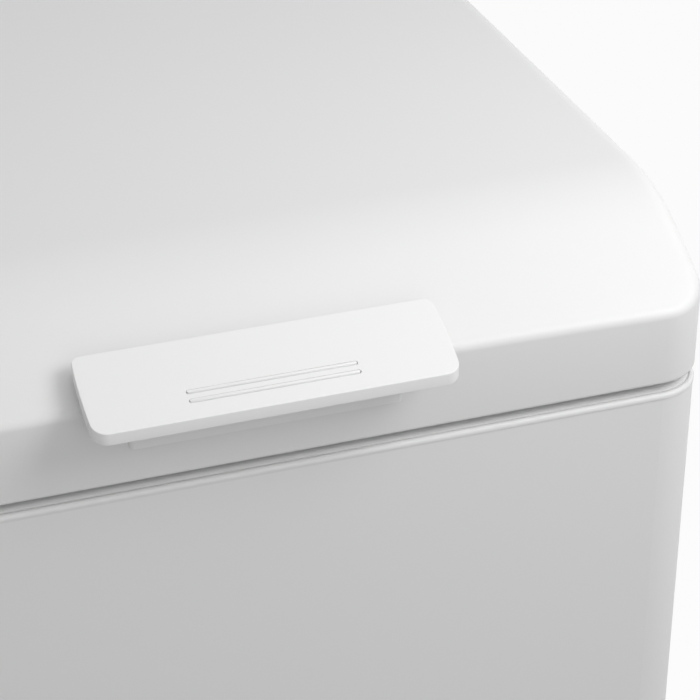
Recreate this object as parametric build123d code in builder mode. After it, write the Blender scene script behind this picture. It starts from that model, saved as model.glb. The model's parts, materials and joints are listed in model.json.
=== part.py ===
from build123d import *
import math
import os

os.makedirs("parts", exist_ok=True)

# A compact chest freezer, in millimetres
# The origin is on the floor under the middle, the front faces -Y and +X is on the right seen from the front

# Cabinet and lid
width = 527.0
depth = 510.0
height = 865.0
corner_radius = 30.0
skin = 1.2
foot_height = 20.0
base_thickness = 1.5
rear_return = 38.0
lid_height = 88.8
lid_skin = 1.5
lid_edge_radius = 11.0
lid_hem_rounding = 1.2
crown_setback = 110.0
crown_bend_radius = 130.0
front_slope = 24.4

# Seam between lid and cabinet
seam_gap = 6.0
bead_height = 4.2
bead_proud = 0.8
bead_rounding = 1.9
groove_inset = 1.8
groove_width = 0.8
groove_depth = 0.7
collar_thickness = 3.0
collar_lip_depth = 14.0
collar_lip_thickness = 2.0

# Tank and machine compartment
wall_thickness = 55.0
floor_thickness = 58.0
liner_thickness = 1.2
tank_corner_radius = 14.0
tank_floor_radius = 12.0
compartment_width = 170.0
compartment_height = 225.0
compartment_wall = 50.0

# Refrigerant tubes in the foam
coil_tube_radius = 3.5
coil_gap = 0.3
coil_turns = 6
coil_pitch = 62.0
coil_start = 62.0
condenser_runs = 7
condenser_pitch = 70.0
condenser_margin = 65.0
condenser_start = 150.0

# Lid underside
lid_liner_lift = 2.0
lid_liner_thickness = 1.5
lid_dish_height = 12.0
lid_dish_margin = 52.0
lid_dish_radius = 26.0
lid_dish_rounding = 5.0
gasket_inset = 13.0
gasket_width = 16.0
gasket_bellows_depth = 3.0
gasket_bellows_height = 2.4
gasket_clearance = 0.2

# Handle on the lid's front
plate_width = 198.0
plate_depth = 52.8
plate_thickness = 6.5
plate_tilt = 20.75
plate_reach = 29.3
plate_front_rise = 51.1
plate_front_corner = 8.0
plate_rear_corner = 4.5
plate_end_bow = 1.0
plate_edge_rounding = 0.9
plate_rib_length = 96.0
plate_rib_width = 1.3
plate_rib_height = 0.6
plate_rib_setback = 11.8
plate_rib_spacing = 6.0
handle_base_width = 152.0
handle_base_proud = 5.0
handle_base_rise = 23.6
handle_base_rear = 16.0
handle_base_rounding = 3.0
handle_screw_spacing = 110.0
handle_screw_rise = 42.0

# Hinges
hinge_inset = 93.5
pivot_back = 20.0
pivot_rise = 10.0
pin_radius = 3.5
pin_clearance = 0.05
pin_head_radius = 5.5
pin_head_thickness = 1.5
bracket_sheet = 2.0
channel_inner_width = 24.0
ear_radius = 8.5
bracket_width = 56.0
bracket_drop = 150.0
bracket_top_gap = 2.0
bracket_screw_spacing = 42.0
bracket_screw_edge = 20.0
seat_rise = 12.0
seat_thickness = 3.0
seat_depth = 20.0
flange_foot_rise = 22.0
cam_base_radius = 8.0
cam_start_reach = 20.0
cam_clearance = 0.3
cam_lead_in = 8.0
cam_run_out = 6.0
cam_steps = 12
ear_neck = 8.0
lid_travel = 80.0
barrel_radius = 7.0
knuckle_width = 22.0
leaf_width = 44.0
leaf_thickness = 2.0
leaf_top_rise = 72.0
leaf_bottom_rise = 2.0
leaf_screw_spacing = 30.0
leaf_screw_rises = (34.0, 60.0)
shoe_height = 9.0
shoe_depth = 19.0
shoe_clearance = 0.2
guide_rod_radius = 3.2
guide_rod_length = 46.0
spring_wire_radius = 1.3
spring_radius = 6.0
spring_turns = 12
spring_end_gap = 0.6
spring_seat_gap = 0.1

# Screws
screw_head_radius = 4.0
screw_head_height = 2.2
screw_shank_radius = 1.9
screw_length = 9.0
screw_clearance = 0.1

# Feet and wall spacers
foot_radius = 19.0
foot_inset = 48.0
foot_rim = 3.0
foot_peg_radius = 6.0
foot_peg_height = 8.0
spacer_width = 34.0
spacer_height = 60.0
spacer_reach = 29.3
spacer_inset = 63.5
spacer_level = 560.0
spacer_rounding = 5.0

# Control panel, low on the front
panel_inset = 87.5
panel_z = 150.0
panel_width = 116.0
panel_height = 56.0
panel_lip = 6.0
panel_proud = 2.4
panel_box_depth = 14.0
panel_wall = 2.0
panel_corner = 8.0
knob_offset = 26.0
knob_radius = 17.0
knob_height = 12.0
knob_gap = 0.5
knob_grip_width = 7.0
knob_grip_height = 6.0
knob_bore_depth = 8.0
shaft_depth = 8.0
shaft_radius = 3.0
shaft_clearance = 0.05
thermostat_size = 34.0
thermostat_depth = 26.0
button_offset = -34.0
button_width = 16.0
button_height = 10.0
button_proud = 3.0
button_clearance = 0.3
button_flange = 1.6
lens_radius = 4.0
lens_proud = 1.2
lens_rounding = 1.0
lens_spacing = 18.0
lens_offset = -8.0

# Ventilation
grille_inset = 215.0
grille_z = 132.0
grille_length = 176.0
grille_height = 140.0
grille_lip = 6.0
grille_proud = 0.8
grille_depth = 6.0
grille_slot_width = 6.0
grille_slot_pitch = 12.0
grille_slot_columns = 13
grille_slot_rows = 2
rear_cover_inset = 99.5
rear_cover_z = 136.0
rear_cover_width = 108.0
rear_cover_height = 196.0
rear_cover_lip = 10.0
rear_cover_bulge = 9.0
rear_cover_sheet = 1.2
rear_slot_length = 60.0
rear_slot_width = 5.0
rear_slot_pitch = 13.0
rear_slot_count = 9
rear_slot_lift = 22.0
gland_drop = 64.0
gland_radius = 7.0
gland_bore = 3.8
gland_flange_radius = 10.0
gland_flange_thickness = 2.5
gland_length = 7.0

# Compressor
compressor_inset = 165.0
compressor_long = 156.0
compressor_wide = 124.0
compressor_height = 150.0
compressor_dome = 34.0
weld_flange_proud = 4.0
weld_flange_height = 5.0
compressor_plate = 2.5
compressor_plate_length = 190.0
compressor_plate_width = 136.0
grommet_height = 12.0
grommet_radius = 10.0
grommet_neck_radius = 6.0
grommet_top_height = 5.0
grommet_spacing_x = 108.0
grommet_spacing_y = 164.0
compressor_bolt_radius = 3.0
compressor_bolt_head = 5.5
compressor_bolt_head_height = 4.0
relay_width = 46.0
relay_depth = 34.0
relay_height = 52.0
relay_bite = 6.0
tube_radius = 3.0
tube_bend = 14.0
tube_into_foam = 18.0
tube_ceiling_drop = 22.0
suction_offset = 22.0
suction_setback = 24.0
suction_shift = 40.0
discharge_offset = 20.0
discharge_setback = -22.0
discharge_shift = 90.0
capillary_radius = 1.3
capillary_shift = 30.0
drier_radius = 9.5
drier_length = 92.0
drier_neck = 12.0
drier_wall_gap = 26.0
drier_setback = -150.0
drier_lift = 52.0
drier_inlet_drop = 26.0

# Drain
drain_inset = 113.5
drain_setback = 105.0
drain_z = 50.0
drain_radius = 10.0
drain_bore = 7.3
drain_bend = 16.0
plug_clearance = 0.3
plug_length = 14.0
plug_cap_radius = 13.0
plug_cap_height = 5.0

# Basket
basket_width = 190.0
basket_height = 186.0
basket_wire = 3.0
basket_rim_wire = 5.0
basket_rim_corner = 4.5
basket_rim_drop = 10.0
basket_end_gap = 11.0
basket_front_gap = 5.0
basket_hook_width = 5.0
basket_hook_spacing = 130.0
basket_hook_reach = 26.0
basket_hook_gap = 0.2
basket_mesh = 40.0

# Levels and planes that several pieces share
half_width = width / 2
front = -depth / 2
back = depth / 2
lid_bottom = height - lid_height
frame_top = lid_bottom - seam_gap
bead_bottom = frame_top - bead_height
collar_bottom = frame_top - collar_thickness
cabinet_bottom = foot_height
cabinet_height = bead_bottom - cabinet_bottom
base_top = cabinet_bottom + base_thickness
tank_half_width = half_width - wall_thickness
tank_half_depth = back - wall_thickness
tank_floor = cabinet_bottom + floor_thickness
bulkhead_x = half_width - compartment_width
ceiling_z = cabinet_bottom + compartment_height
step_x = bulkhead_x - compartment_wall
step_z = ceiling_z + compartment_wall
machine_x = (bulkhead_x + half_width) / 2
compressor_y = back - compressor_inset
panel_x = half_width - panel_inset
rear_cover_x = half_width - rear_cover_inset
grille_y = back - grille_inset
drain_x = drain_inset - half_width
drain_y = front + drain_setback
pivot_y = back + pivot_back
pivot_z = lid_bottom + pivot_rise
hinge_sides = {"left": hinge_inset - half_width, "right": half_width - hinge_inset}


def save(part, name):
    part.label = name
    export_step(part, f"parts/{name}.step")


# Shared forms


def facing_front(x, y, z):
    return Plane(origin=(x, y, z), x_dir=(1, 0, 0), z_dir=(0, -1, 0))


def facing_back(x, y, z):
    return Plane(origin=(x, y, z), x_dir=(-1, 0, 0), z_dir=(0, 1, 0))


def cabinet_plan(inset, z):
    # The cabinet's outline from above, drawn in by an inset
    with BuildSketch(Plane.XY.offset(z)) as plan:
        RectangleRounded(width - 2 * inset, depth - 2 * inset, corner_radius - inset)
    return plan.sketch


def lid_form(inset):
    # The lid's closed form drawn in by an inset: flat crown, bend and sloping front with rounded edges
    centre_y = front + crown_setback
    centre_z = height - crown_bend_radius
    radius = crown_bend_radius - inset
    slope = math.radians(front_slope)
    bend_end = (centre_y - radius * math.sin(slope), centre_z + radius * math.cos(slope))
    run = bend_end[0] - front + crown_setback
    foot = (bend_end[0] - run, bend_end[1] - run * math.tan(slope))
    with BuildPart() as form:
        extrude(cabinet_plan(inset, lid_bottom), amount=lid_height - inset)
        with BuildSketch(Plane.YZ):
            with BuildLine():
                CenterArc((centre_y, centre_z), radius, 90, front_slope)
                Polyline(
                    bend_end,
                    foot,
                    (foot[0], 2 * height),
                    (centre_y, 2 * height),
                    (centre_y, height - inset),
                )
            make_face()
        extrude(amount=width, both=True, mode=Mode.SUBTRACT)
        rim = form.edges().filter_by(Axis.Z, reverse=True)
        rim = rim.filter_by(lambda edge: edge.center().Z > lid_bottom + lid_edge_radius)
        creases = rim.filter_by(Axis.X).filter_by(lambda edge: abs(edge.center().Y) < back - corner_radius)
        fillet([edge for edge in rim if edge not in creases], lid_edge_radius - inset)
    return form.part


def tank_form(grow):
    # The stepped tank's inner space, grown outwards by a sheet's thickness
    left = -tank_half_width - grow
    right = tank_half_width + grow
    floor = tank_floor - grow
    step = (step_x + grow, step_z - grow)
    outline = [
        (left, floor),
        (step[0], floor),
        step,
        (right, step[1]),
        (right, collar_bottom),
        (left, collar_bottom),
    ]
    outer_radius = tank_floor_radius + grow
    radii = [outer_radius, outer_radius, tank_floor_radius - grow, outer_radius, 0, 0]
    with BuildPart() as tank:
        with BuildSketch(Plane.XZ):
            with BuildLine():
                FilletPolyline(*outline, radius=radii, close=True)
            make_face()
        extrude(amount=tank_half_depth + grow, both=True)
        fillet(tank.edges().filter_by(Axis.Z), tank_corner_radius + grow)
    return tank.part


def tube_along(points, bend, radius, bore=0.0):
    # A round tube, or a rod where the bore is 0, along straight runs joined by arcs
    with BuildPart() as tube:
        with BuildLine() as path:
            FilletPolyline(*points, radius=bend)
        with BuildSketch(Plane(origin=path.line @ 0, z_dir=path.line % 0)):
            Circle(radius)
            if bore:
                Circle(bore, mode=Mode.SUBTRACT)
        sweep()
    return tube.part


def pan_screws(planes, length):
    # Screws with rounded heads, each standing on its plane with the shank below it
    with BuildPart() as screws:
        with BuildSketch(*planes):
            Circle(screw_head_radius)
        extrude(amount=screw_head_height)
        fillet(screws.edges().group_by(SortBy.LENGTH)[-1], screw_head_height / 3)
        with BuildSketch(*planes):
            Circle(screw_shank_radius)
        extrude(amount=-length)
    return screws.part


def drillings(planes, radius, reach):
    # Straight holes on both sides of the given planes, to take out of what a fastener passes through
    with BuildPart() as holes:
        with BuildSketch(*planes):
            Circle(radius)
        extrude(amount=reach, both=True)
    return holes.part


# Planes that the screws stand on

handle_screw_planes = [
    facing_front(x, front - handle_base_proud, lid_bottom + handle_screw_rise)
    for x in (-handle_screw_spacing / 2, handle_screw_spacing / 2)
]
bracket_top = bead_bottom - bracket_top_gap
bracket_bottom = pivot_z - bracket_drop
bracket_screw_levels = (bracket_bottom + bracket_screw_edge, bracket_top - bracket_screw_edge)
bracket_screw_planes = {
    side: [
        facing_back(x + offset, back + bracket_sheet, z)
        for offset in (-bracket_screw_spacing / 2, bracket_screw_spacing / 2)
        for z in bracket_screw_levels
    ]
    for side, x in hinge_sides.items()
}
leaf_screw_planes = {
    side: [
        facing_back(x + offset, back + leaf_thickness, lid_bottom + rise)
        for offset in (-leaf_screw_spacing / 2, leaf_screw_spacing / 2)
        for rise in leaf_screw_rises
    ]
    for side, x in hinge_sides.items()
}
cover_screw_planes = [
    facing_back(rear_cover_x + x, back + rear_cover_sheet, rear_cover_z + z)
    for x in (-(rear_cover_width - rear_cover_lip) / 2, (rear_cover_width - rear_cover_lip) / 2)
    for z in (-(rear_cover_height - rear_cover_lip) / 2, (rear_cover_height - rear_cover_lip) / 2)
]
spacer_xs = (spacer_inset - half_width, half_width - spacer_inset)
screw_hole_radius = screw_shank_radius + screw_clearance
bracket_drillings = [
    drillings(planes, screw_hole_radius, screw_length)
    for planes in bracket_screw_planes.values()
]
leaf_drillings = [
    drillings(planes, screw_hole_radius, screw_length)
    for planes in leaf_screw_planes.values()
]
handle_drillings = drillings(handle_screw_planes, screw_hole_radius, 2 * screw_length)
cover_drillings = drillings(cover_screw_planes, screw_hole_radius, screw_length)

# Places of the machine pieces

plate_bottom = base_top + grommet_height
plate_top = plate_bottom + compressor_plate
grommet_points = [
    (machine_x + x, compressor_y + y)
    for x in (-grommet_spacing_x / 2, grommet_spacing_x / 2)
    for y in (-grommet_spacing_y / 2, grommet_spacing_y / 2)
]
foam_entry = ceiling_z + skin + tube_into_foam
port_level = plate_top + compressor_height / 2
tube_level = ceiling_z - tube_ceiling_drop
suction_x = machine_x - suction_offset
suction_y = compressor_y + suction_setback
suction_points = [
    (suction_x, suction_y, port_level),
    (suction_x, suction_y, tube_level),
    (suction_x - suction_shift, suction_y, tube_level),
    (suction_x - suction_shift, suction_y, foam_entry),
]
discharge_x = machine_x + discharge_offset
discharge_y = compressor_y + discharge_setback
discharge_points = [
    (discharge_x, discharge_y, port_level),
    (discharge_x, discharge_y, tube_level),
    (discharge_x, discharge_y - discharge_shift, tube_level),
    (discharge_x, discharge_y - discharge_shift, foam_entry),
]
drier_x = bulkhead_x + drier_wall_gap
drier_y = compressor_y + drier_setback
drier_z = base_top + drier_lift
capillary_points = [
    (drier_x, drier_y, drier_z + drier_length),
    (drier_x, drier_y, tube_level),
    (drier_x + capillary_shift, drier_y, tube_level),
    (drier_x + capillary_shift, drier_y, foam_entry),
]
drier_inlet_points = [
    (drier_x, drier_y, drier_z),
    (drier_x, drier_y, drier_z - drier_inlet_drop),
    (bulkhead_x - tube_into_foam, drier_y, drier_z - drier_inlet_drop),
]
drain_points = [
    (drain_x, drain_y, tank_floor - liner_thickness),
    (drain_x, drain_y, drain_z),
    (drain_x, front, drain_z),
]

# Cabinet sheets

wrap_openings = []
with BuildPart() as panel_opening:
    with BuildSketch(Plane.XZ.offset(-front)):
        with Locations((panel_x, panel_z)):
            RectangleRounded(panel_width - 2 * panel_lip, panel_height - 2 * panel_lip, panel_corner / 2)
    extrude(amount=2 * skin, both=True)
wrap_openings.append(panel_opening.part)
with BuildPart() as grille_opening:
    with BuildSketch(Plane.YZ.offset(half_width)):
        with Locations((grille_y, grille_z)):
            Rectangle(grille_length - 2 * grille_lip, grille_height - 2 * grille_lip)
    extrude(amount=2 * skin, both=True)
wrap_openings.append(grille_opening.part)
drain_mouth = facing_front(drain_x, front, drain_z)
wrap_openings.append(drillings([drain_mouth], drain_radius, 2 * skin))

back_panel_half = half_width - rear_return

with BuildPart() as cabinet_wrap:
    extrude(cabinet_plan(0, cabinet_bottom), amount=cabinet_height)
    extrude(cabinet_plan(skin, cabinet_bottom), amount=cabinet_height, mode=Mode.SUBTRACT)
    with BuildSketch(Plane.XY.offset(cabinet_bottom)):
        with Locations((0, back)):
            Rectangle(2 * back_panel_half, 4 * skin)
    extrude(amount=cabinet_height, mode=Mode.SUBTRACT)
    for opening in wrap_openings:
        add(opening, mode=Mode.SUBTRACT)
save(cabinet_wrap.part, "cabinet_wrap")

with BuildPart() as back_panel:
    with BuildSketch(Plane.XZ.offset(-back)):
        with Locations((0, cabinet_bottom + cabinet_height / 2)):
            Rectangle(2 * back_panel_half, cabinet_height)
        with Locations((rear_cover_x, rear_cover_z)):
            Rectangle(
                rear_cover_width - 2 * rear_cover_lip,
                rear_cover_height - 2 * rear_cover_lip,
                mode=Mode.SUBTRACT,
            )
    extrude(amount=skin)
    for holes in bracket_drillings:
        add(holes, mode=Mode.SUBTRACT)
    add(cover_drillings, mode=Mode.SUBTRACT)
save(back_panel.part, "back_panel")

foot_points = [
    (x, y)
    for x in (foot_inset - half_width, half_width - foot_inset)
    for y in (front + foot_inset, back - foot_inset)
]

with BuildPart() as base_pan:
    extrude(cabinet_plan(skin, cabinet_bottom), amount=base_thickness)
    with Locations(*[(x, y, base_top) for x, y in grommet_points]):
        Hole(compressor_bolt_radius)
    with Locations(*[(x, y, base_top) for x, y in foot_points]):
        Hole(foot_peg_radius)
save(base_pan.part, "base_pan")

with BuildPart() as top_frame:
    extrude(cabinet_plan(-bead_proud, bead_bottom), amount=bead_height)
    fillet(top_frame.faces().sort_by(Axis.Z)[-1].edges(), bead_rounding)
    extrude(cabinet_plan(groove_inset, frame_top), amount=-groove_depth, mode=Mode.SUBTRACT)
    extrude(cabinet_plan(groove_inset + groove_width, frame_top), amount=-groove_depth)
    extrude(cabinet_plan(skin, bead_bottom), amount=collar_bottom - bead_bottom, mode=Mode.SUBTRACT)
    with BuildSketch(Plane.XY.offset(frame_top)):
        RectangleRounded(2 * tank_half_width, 2 * tank_half_depth, tank_corner_radius)
    extrude(amount=-collar_lip_depth)
    with BuildSketch(Plane.XY.offset(frame_top)):
        RectangleRounded(
            2 * (tank_half_width - collar_lip_thickness),
            2 * (tank_half_depth - collar_lip_thickness),
            tank_corner_radius - collar_lip_thickness,
        )
    extrude(amount=-collar_lip_depth, mode=Mode.SUBTRACT)
save(top_frame.part, "top_frame")

# Tank

with BuildPart() as inner_liner:
    add(tank_form(liner_thickness))
    add(tank_form(0.0), mode=Mode.SUBTRACT)
    with Locations((drain_x, drain_y, tank_floor)):
        Hole(drain_bore)
save(inner_liner.part, "inner_liner")

with BuildPart() as compartment_bulkhead:
    with BuildSketch(Plane.XZ):
        with BuildLine():
            Polyline(
                (bulkhead_x, base_top),
                (bulkhead_x, ceiling_z + skin),
                (half_width, ceiling_z + skin),
                (half_width, ceiling_z),
                (bulkhead_x + skin, ceiling_z),
                (bulkhead_x + skin, base_top),
                close=True,
            )
        make_face()
    extrude(amount=depth, both=True)
    extrude(cabinet_plan(skin, cabinet_bottom), amount=cabinet_height, mode=Mode.INTERSECT)
    for points in (suction_points, discharge_points):
        with Locations((points[-1][0], points[-1][1], ceiling_z + skin)):
            Hole(tube_radius)
    with Locations((capillary_points[-1][0], capillary_points[-1][1], ceiling_z + skin)):
        Hole(capillary_radius)
    inlet_plane = Plane(origin=(bulkhead_x, drier_y, drier_inlet_points[-1][2]), z_dir=(1, 0, 0))
    add(drillings([inlet_plane], tube_radius, 4 * skin), mode=Mode.SUBTRACT)
save(compartment_bulkhead.part, "compartment_bulkhead")

# Tubes in the foam

coil_half_x = tank_half_width + liner_thickness + coil_gap + coil_tube_radius
coil_half_y = tank_half_depth + liner_thickness + coil_gap + coil_tube_radius
coil_levels = [step_z + coil_start + turn * coil_pitch for turn in range(coil_turns)]
coil_points = []
for level in coil_levels:
    coil_points += [
        (-coil_half_x, coil_half_y, level),
        (-coil_half_x, -coil_half_y, level),
        (coil_half_x, -coil_half_y, level),
        (coil_half_x, coil_half_y, level),
    ]
coil_end_y = tank_half_depth - 2 * tank_corner_radius
coil_points[0] = (-coil_half_x, coil_end_y, coil_levels[0])
coil_points[-1] = (coil_half_x, coil_end_y, coil_levels[-1])
coil_bend = tank_corner_radius + liner_thickness + coil_gap + coil_tube_radius
evaporator = tube_along(coil_points, coil_bend, coil_tube_radius)
save(evaporator, "evaporator_coil")

condenser_x = skin + coil_gap + coil_tube_radius - half_width
condenser_run_length = depth - 2 * condenser_margin
condenser_points = []
for run in range(condenser_runs):
    level = condenser_start + run * condenser_pitch
    ends = (-condenser_run_length / 2, condenser_run_length / 2)
    if run % 2:
        ends = ends[::-1]
    condenser_points += [(condenser_x, y, level) for y in ends]
condenser = tube_along(condenser_points, condenser_pitch / 3, coil_tube_radius)
save(condenser, "condenser_coil")

# Drain tube from the tank floor to the front

drain_tube = tube_along(drain_points, drain_bend, drain_radius, drain_bore)
save(drain_tube, "drain_tube")

# Foam, moulded round everything that it holds

with BuildPart() as insulation:
    extrude(cabinet_plan(skin, base_top), amount=collar_bottom - base_top)
    add(tank_form(liner_thickness), mode=Mode.SUBTRACT)
    with BuildSketch(Plane.XZ):
        with Locations((bulkhead_x + compartment_width / 2, ceiling_z / 2 + skin / 2)):
            Rectangle(compartment_width, ceiling_z + skin)
    extrude(amount=depth, both=True, mode=Mode.SUBTRACT)
    channel = 2 * (coil_tube_radius + coil_gap)
    for level in coil_levels:
        with BuildSketch(Plane.XY.offset(level - channel / 2)):
            RectangleRounded(
                2 * (tank_half_width + liner_thickness + channel),
                2 * (tank_half_depth + liner_thickness + channel),
                tank_corner_radius + liner_thickness + channel,
            )
            RectangleRounded(
                2 * tank_half_width,
                2 * tank_half_depth,
                tank_corner_radius,
                mode=Mode.SUBTRACT,
            )
        extrude(amount=channel, mode=Mode.SUBTRACT)
    with BuildSketch(Plane.XY.offset(coil_levels[0] - channel / 2)):
        RectangleRounded(
            2 * (tank_half_width + liner_thickness + channel),
            2 * (tank_half_depth + liner_thickness + channel),
            tank_corner_radius + liner_thickness + channel,
        )
        with Locations((0, -2 * tank_corner_radius)):
            Rectangle(width, 2 * tank_half_depth, mode=Mode.SUBTRACT)
    extrude(amount=coil_levels[-1] - coil_levels[0] + channel, mode=Mode.SUBTRACT)
    with BuildSketch(Plane.YZ.offset(-half_width)):
        with Locations((0, condenser_start + (condenser_runs - 1) * condenser_pitch / 2)):
            Rectangle(condenser_run_length + channel, (condenser_runs - 1) * condenser_pitch + channel)
    extrude(amount=skin + channel, mode=Mode.SUBTRACT)
    add(tube_along(drain_points, drain_bend, drain_radius), mode=Mode.SUBTRACT)
    for points in (suction_points, discharge_points):
        add(drillings([Plane(origin=points[-1])], tube_radius, tube_into_foam), mode=Mode.SUBTRACT)
    add(drillings([Plane(origin=capillary_points[-1])], capillary_radius, tube_into_foam), mode=Mode.SUBTRACT)
    inlet_end = Plane(origin=drier_inlet_points[-1], z_dir=(1, 0, 0))
    add(drillings([inlet_end], tube_radius, tube_into_foam), mode=Mode.SUBTRACT)
    for holes in bracket_drillings:
        add(holes, mode=Mode.SUBTRACT)
    for x, y in foot_points:
        add(drillings([Plane(origin=(x, y, base_top))], foot_peg_radius, foot_peg_height), mode=Mode.SUBTRACT)
save(insulation.part, "insulation")

# Feet and wall spacers

with BuildPart() as feet:
    with BuildSketch(*[Plane(origin=(x, y, 0)) for x, y in foot_points]):
        Circle(foot_radius)
    extrude(amount=foot_height)
    chamfer(feet.edges().group_by(Axis.Z)[0], foot_rim)
    with BuildSketch(*[Plane(origin=(x, y, foot_height)) for x, y in foot_points]):
        Circle(foot_peg_radius)
    extrude(amount=foot_peg_height)
save(feet.part, "feet")

for side, x in zip(hinge_sides, spacer_xs):
    with BuildPart() as wall_spacer:
        with BuildSketch(facing_back(x, back, spacer_level)):
            RectangleRounded(spacer_width, spacer_height, spacer_rounding)
        extrude(amount=spacer_reach)
        fillet(wall_spacer.faces().sort_by(Axis.Y)[-1].edges(), spacer_rounding / 2)
    save(wall_spacer.part, f"wall_spacer_{side}")

# Compressor on its rubber mounts

with BuildPart() as compressor_shell:
    with BuildSketch(Plane(origin=(machine_x, compressor_y, plate_top))):
        Ellipse(compressor_wide / 2, compressor_long / 2)
    extrude(amount=compressor_height)
    fillet(compressor_shell.edges().group_by(Axis.Z)[-1], compressor_dome)
    fillet(compressor_shell.edges().group_by(Axis.Z)[0], compressor_dome / 2)
    with BuildSketch(Plane(origin=(machine_x, compressor_y, plate_top + compressor_height / 2))):
        Ellipse(compressor_wide / 2 + weld_flange_proud, compressor_long / 2 + weld_flange_proud)
    extrude(amount=weld_flange_height)
save(compressor_shell.part, "compressor_shell")

with BuildPart() as compressor_base:
    with BuildSketch(Plane(origin=(machine_x, compressor_y, plate_bottom))):
        RectangleRounded(compressor_plate_width, compressor_plate_length, grommet_radius)
        with GridLocations(grommet_spacing_x, grommet_spacing_y, 2, 2):
            Circle(grommet_neck_radius, mode=Mode.SUBTRACT)
    extrude(amount=compressor_plate)
save(compressor_base.part, "compressor_base")

grommet_levels = {
    "foot": (base_top, grommet_radius, grommet_height),
    "neck": (plate_bottom, grommet_neck_radius, compressor_plate),
    "head": (plate_top, grommet_radius, grommet_top_height),
}
grommet_total = grommet_height + compressor_plate + grommet_top_height
with BuildPart() as compressor_grommets:
    for level, radius, thickness in grommet_levels.values():
        with BuildSketch(*[Plane(origin=(x, y, level)) for x, y in grommet_points]):
            Circle(radius)
        extrude(amount=thickness)
    with BuildSketch(*[Plane(origin=(x, y, base_top)) for x, y in grommet_points]):
        Circle(compressor_bolt_radius)
    extrude(amount=grommet_total, mode=Mode.SUBTRACT)
save(compressor_grommets.part, "compressor_grommets")

with BuildPart() as compressor_bolts:
    with BuildSketch(*[Plane(origin=(x, y, base_top + grommet_total)) for x, y in grommet_points]):
        RegularPolygon(compressor_bolt_head, 6)
    extrude(amount=compressor_bolt_head_height)
    with BuildSketch(*[Plane(origin=(x, y, cabinet_bottom)) for x, y in grommet_points]):
        Circle(compressor_bolt_radius)
    extrude(amount=base_thickness + grommet_total)
save(compressor_bolts.part, "compressor_bolts")

with BuildPart() as relay_cover:
    relay_y = compressor_y - compressor_long / 2 + relay_bite
    with BuildSketch(Plane(origin=(machine_x, relay_y, plate_top + compressor_height / 4))):
        with Locations((0, -relay_depth / 2)):
            RectangleRounded(relay_width, relay_depth, relay_bite)
    extrude(amount=relay_height)
    add(compressor_shell.part, mode=Mode.SUBTRACT)
save(relay_cover.part, "relay_cover")

for name, points in {"suction_tube": suction_points, "discharge_tube": discharge_points}.items():
    with BuildPart() as tube:
        add(tube_along(points, tube_bend, tube_radius))
        add(compressor_shell.part, mode=Mode.SUBTRACT)
    save(tube.part.solids().sort_by(Axis.Z)[-1], name)

with BuildPart() as filter_drier:
    with BuildSketch(Plane.XZ.offset(-drier_y)):
        with BuildLine():
            Polyline(
                (drier_x, drier_z),
                (drier_x + tube_radius, drier_z),
                (drier_x + drier_radius, drier_z + drier_neck),
                (drier_x + drier_radius, drier_z + drier_length - drier_neck),
                (drier_x + tube_radius, drier_z + drier_length),
                (drier_x, drier_z + drier_length),
                close=True,
            )
        make_face()
    revolve(axis=Axis((drier_x, drier_y, 0), (0, 0, 1)))
    add(tube_along(drier_inlet_points, tube_bend, tube_radius))
save(filter_drier.part, "filter_drier")

save(tube_along(capillary_points, tube_bend, capillary_radius), "capillary_tube")

# Ventilation covers

with BuildPart() as side_grille:
    with BuildSketch(Plane.YZ.offset(half_width)):
        with Locations((grille_y, grille_z)):
            RectangleRounded(grille_length, grille_height, grille_lip)
    extrude(amount=grille_proud)
    with BuildSketch(Plane.YZ.offset(half_width)):
        with Locations((grille_y, grille_z)):
            Rectangle(grille_length - 2 * grille_lip, grille_height - 2 * grille_lip)
    extrude(amount=-grille_depth)
    slot_length = (grille_height - 2 * grille_lip) / grille_slot_rows - 2 * grille_lip
    with BuildSketch(Plane.YZ.offset(half_width)):
        with Locations((grille_y, grille_z)):
            with GridLocations(
                grille_slot_pitch, slot_length + grille_lip, grille_slot_columns, grille_slot_rows
            ):
                SlotOverall(slot_length, grille_slot_width, rotation=90)
    extrude(amount=grille_depth, both=True, mode=Mode.SUBTRACT)
save(side_grille.part, "side_grille")

gland_plane = facing_back(rear_cover_x, back + rear_cover_bulge, rear_cover_z - gland_drop)
with BuildPart() as rear_cover:
    inner_width = rear_cover_width - 2 * rear_cover_lip
    inner_height = rear_cover_height - 2 * rear_cover_lip
    cover_plane = facing_back(rear_cover_x, back, rear_cover_z)
    with BuildSketch(cover_plane):
        RectangleRounded(rear_cover_width, rear_cover_height, rear_cover_lip)
    extrude(amount=rear_cover_sheet)
    with BuildSketch(cover_plane):
        RectangleRounded(inner_width, inner_height, rear_cover_lip / 2)
    extrude(amount=rear_cover_bulge)
    with BuildSketch(cover_plane):
        RectangleRounded(
            inner_width - 2 * rear_cover_sheet,
            inner_height - 2 * rear_cover_sheet,
            rear_cover_lip / 2 - rear_cover_sheet,
        )
    extrude(amount=rear_cover_bulge - rear_cover_sheet, mode=Mode.SUBTRACT)
    with BuildSketch(cover_plane):
        with Locations((0, rear_slot_lift)):
            with GridLocations(0, rear_slot_pitch, 1, rear_slot_count):
                SlotOverall(rear_slot_length, rear_slot_width)
    extrude(amount=rear_cover_bulge, mode=Mode.SUBTRACT)
    add(drillings([gland_plane], gland_radius, 2 * rear_cover_sheet), mode=Mode.SUBTRACT)
    add(cover_drillings, mode=Mode.SUBTRACT)
save(rear_cover.part, "rear_cover")
save(pan_screws(cover_screw_planes, screw_length), "rear_cover_screws")

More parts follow.
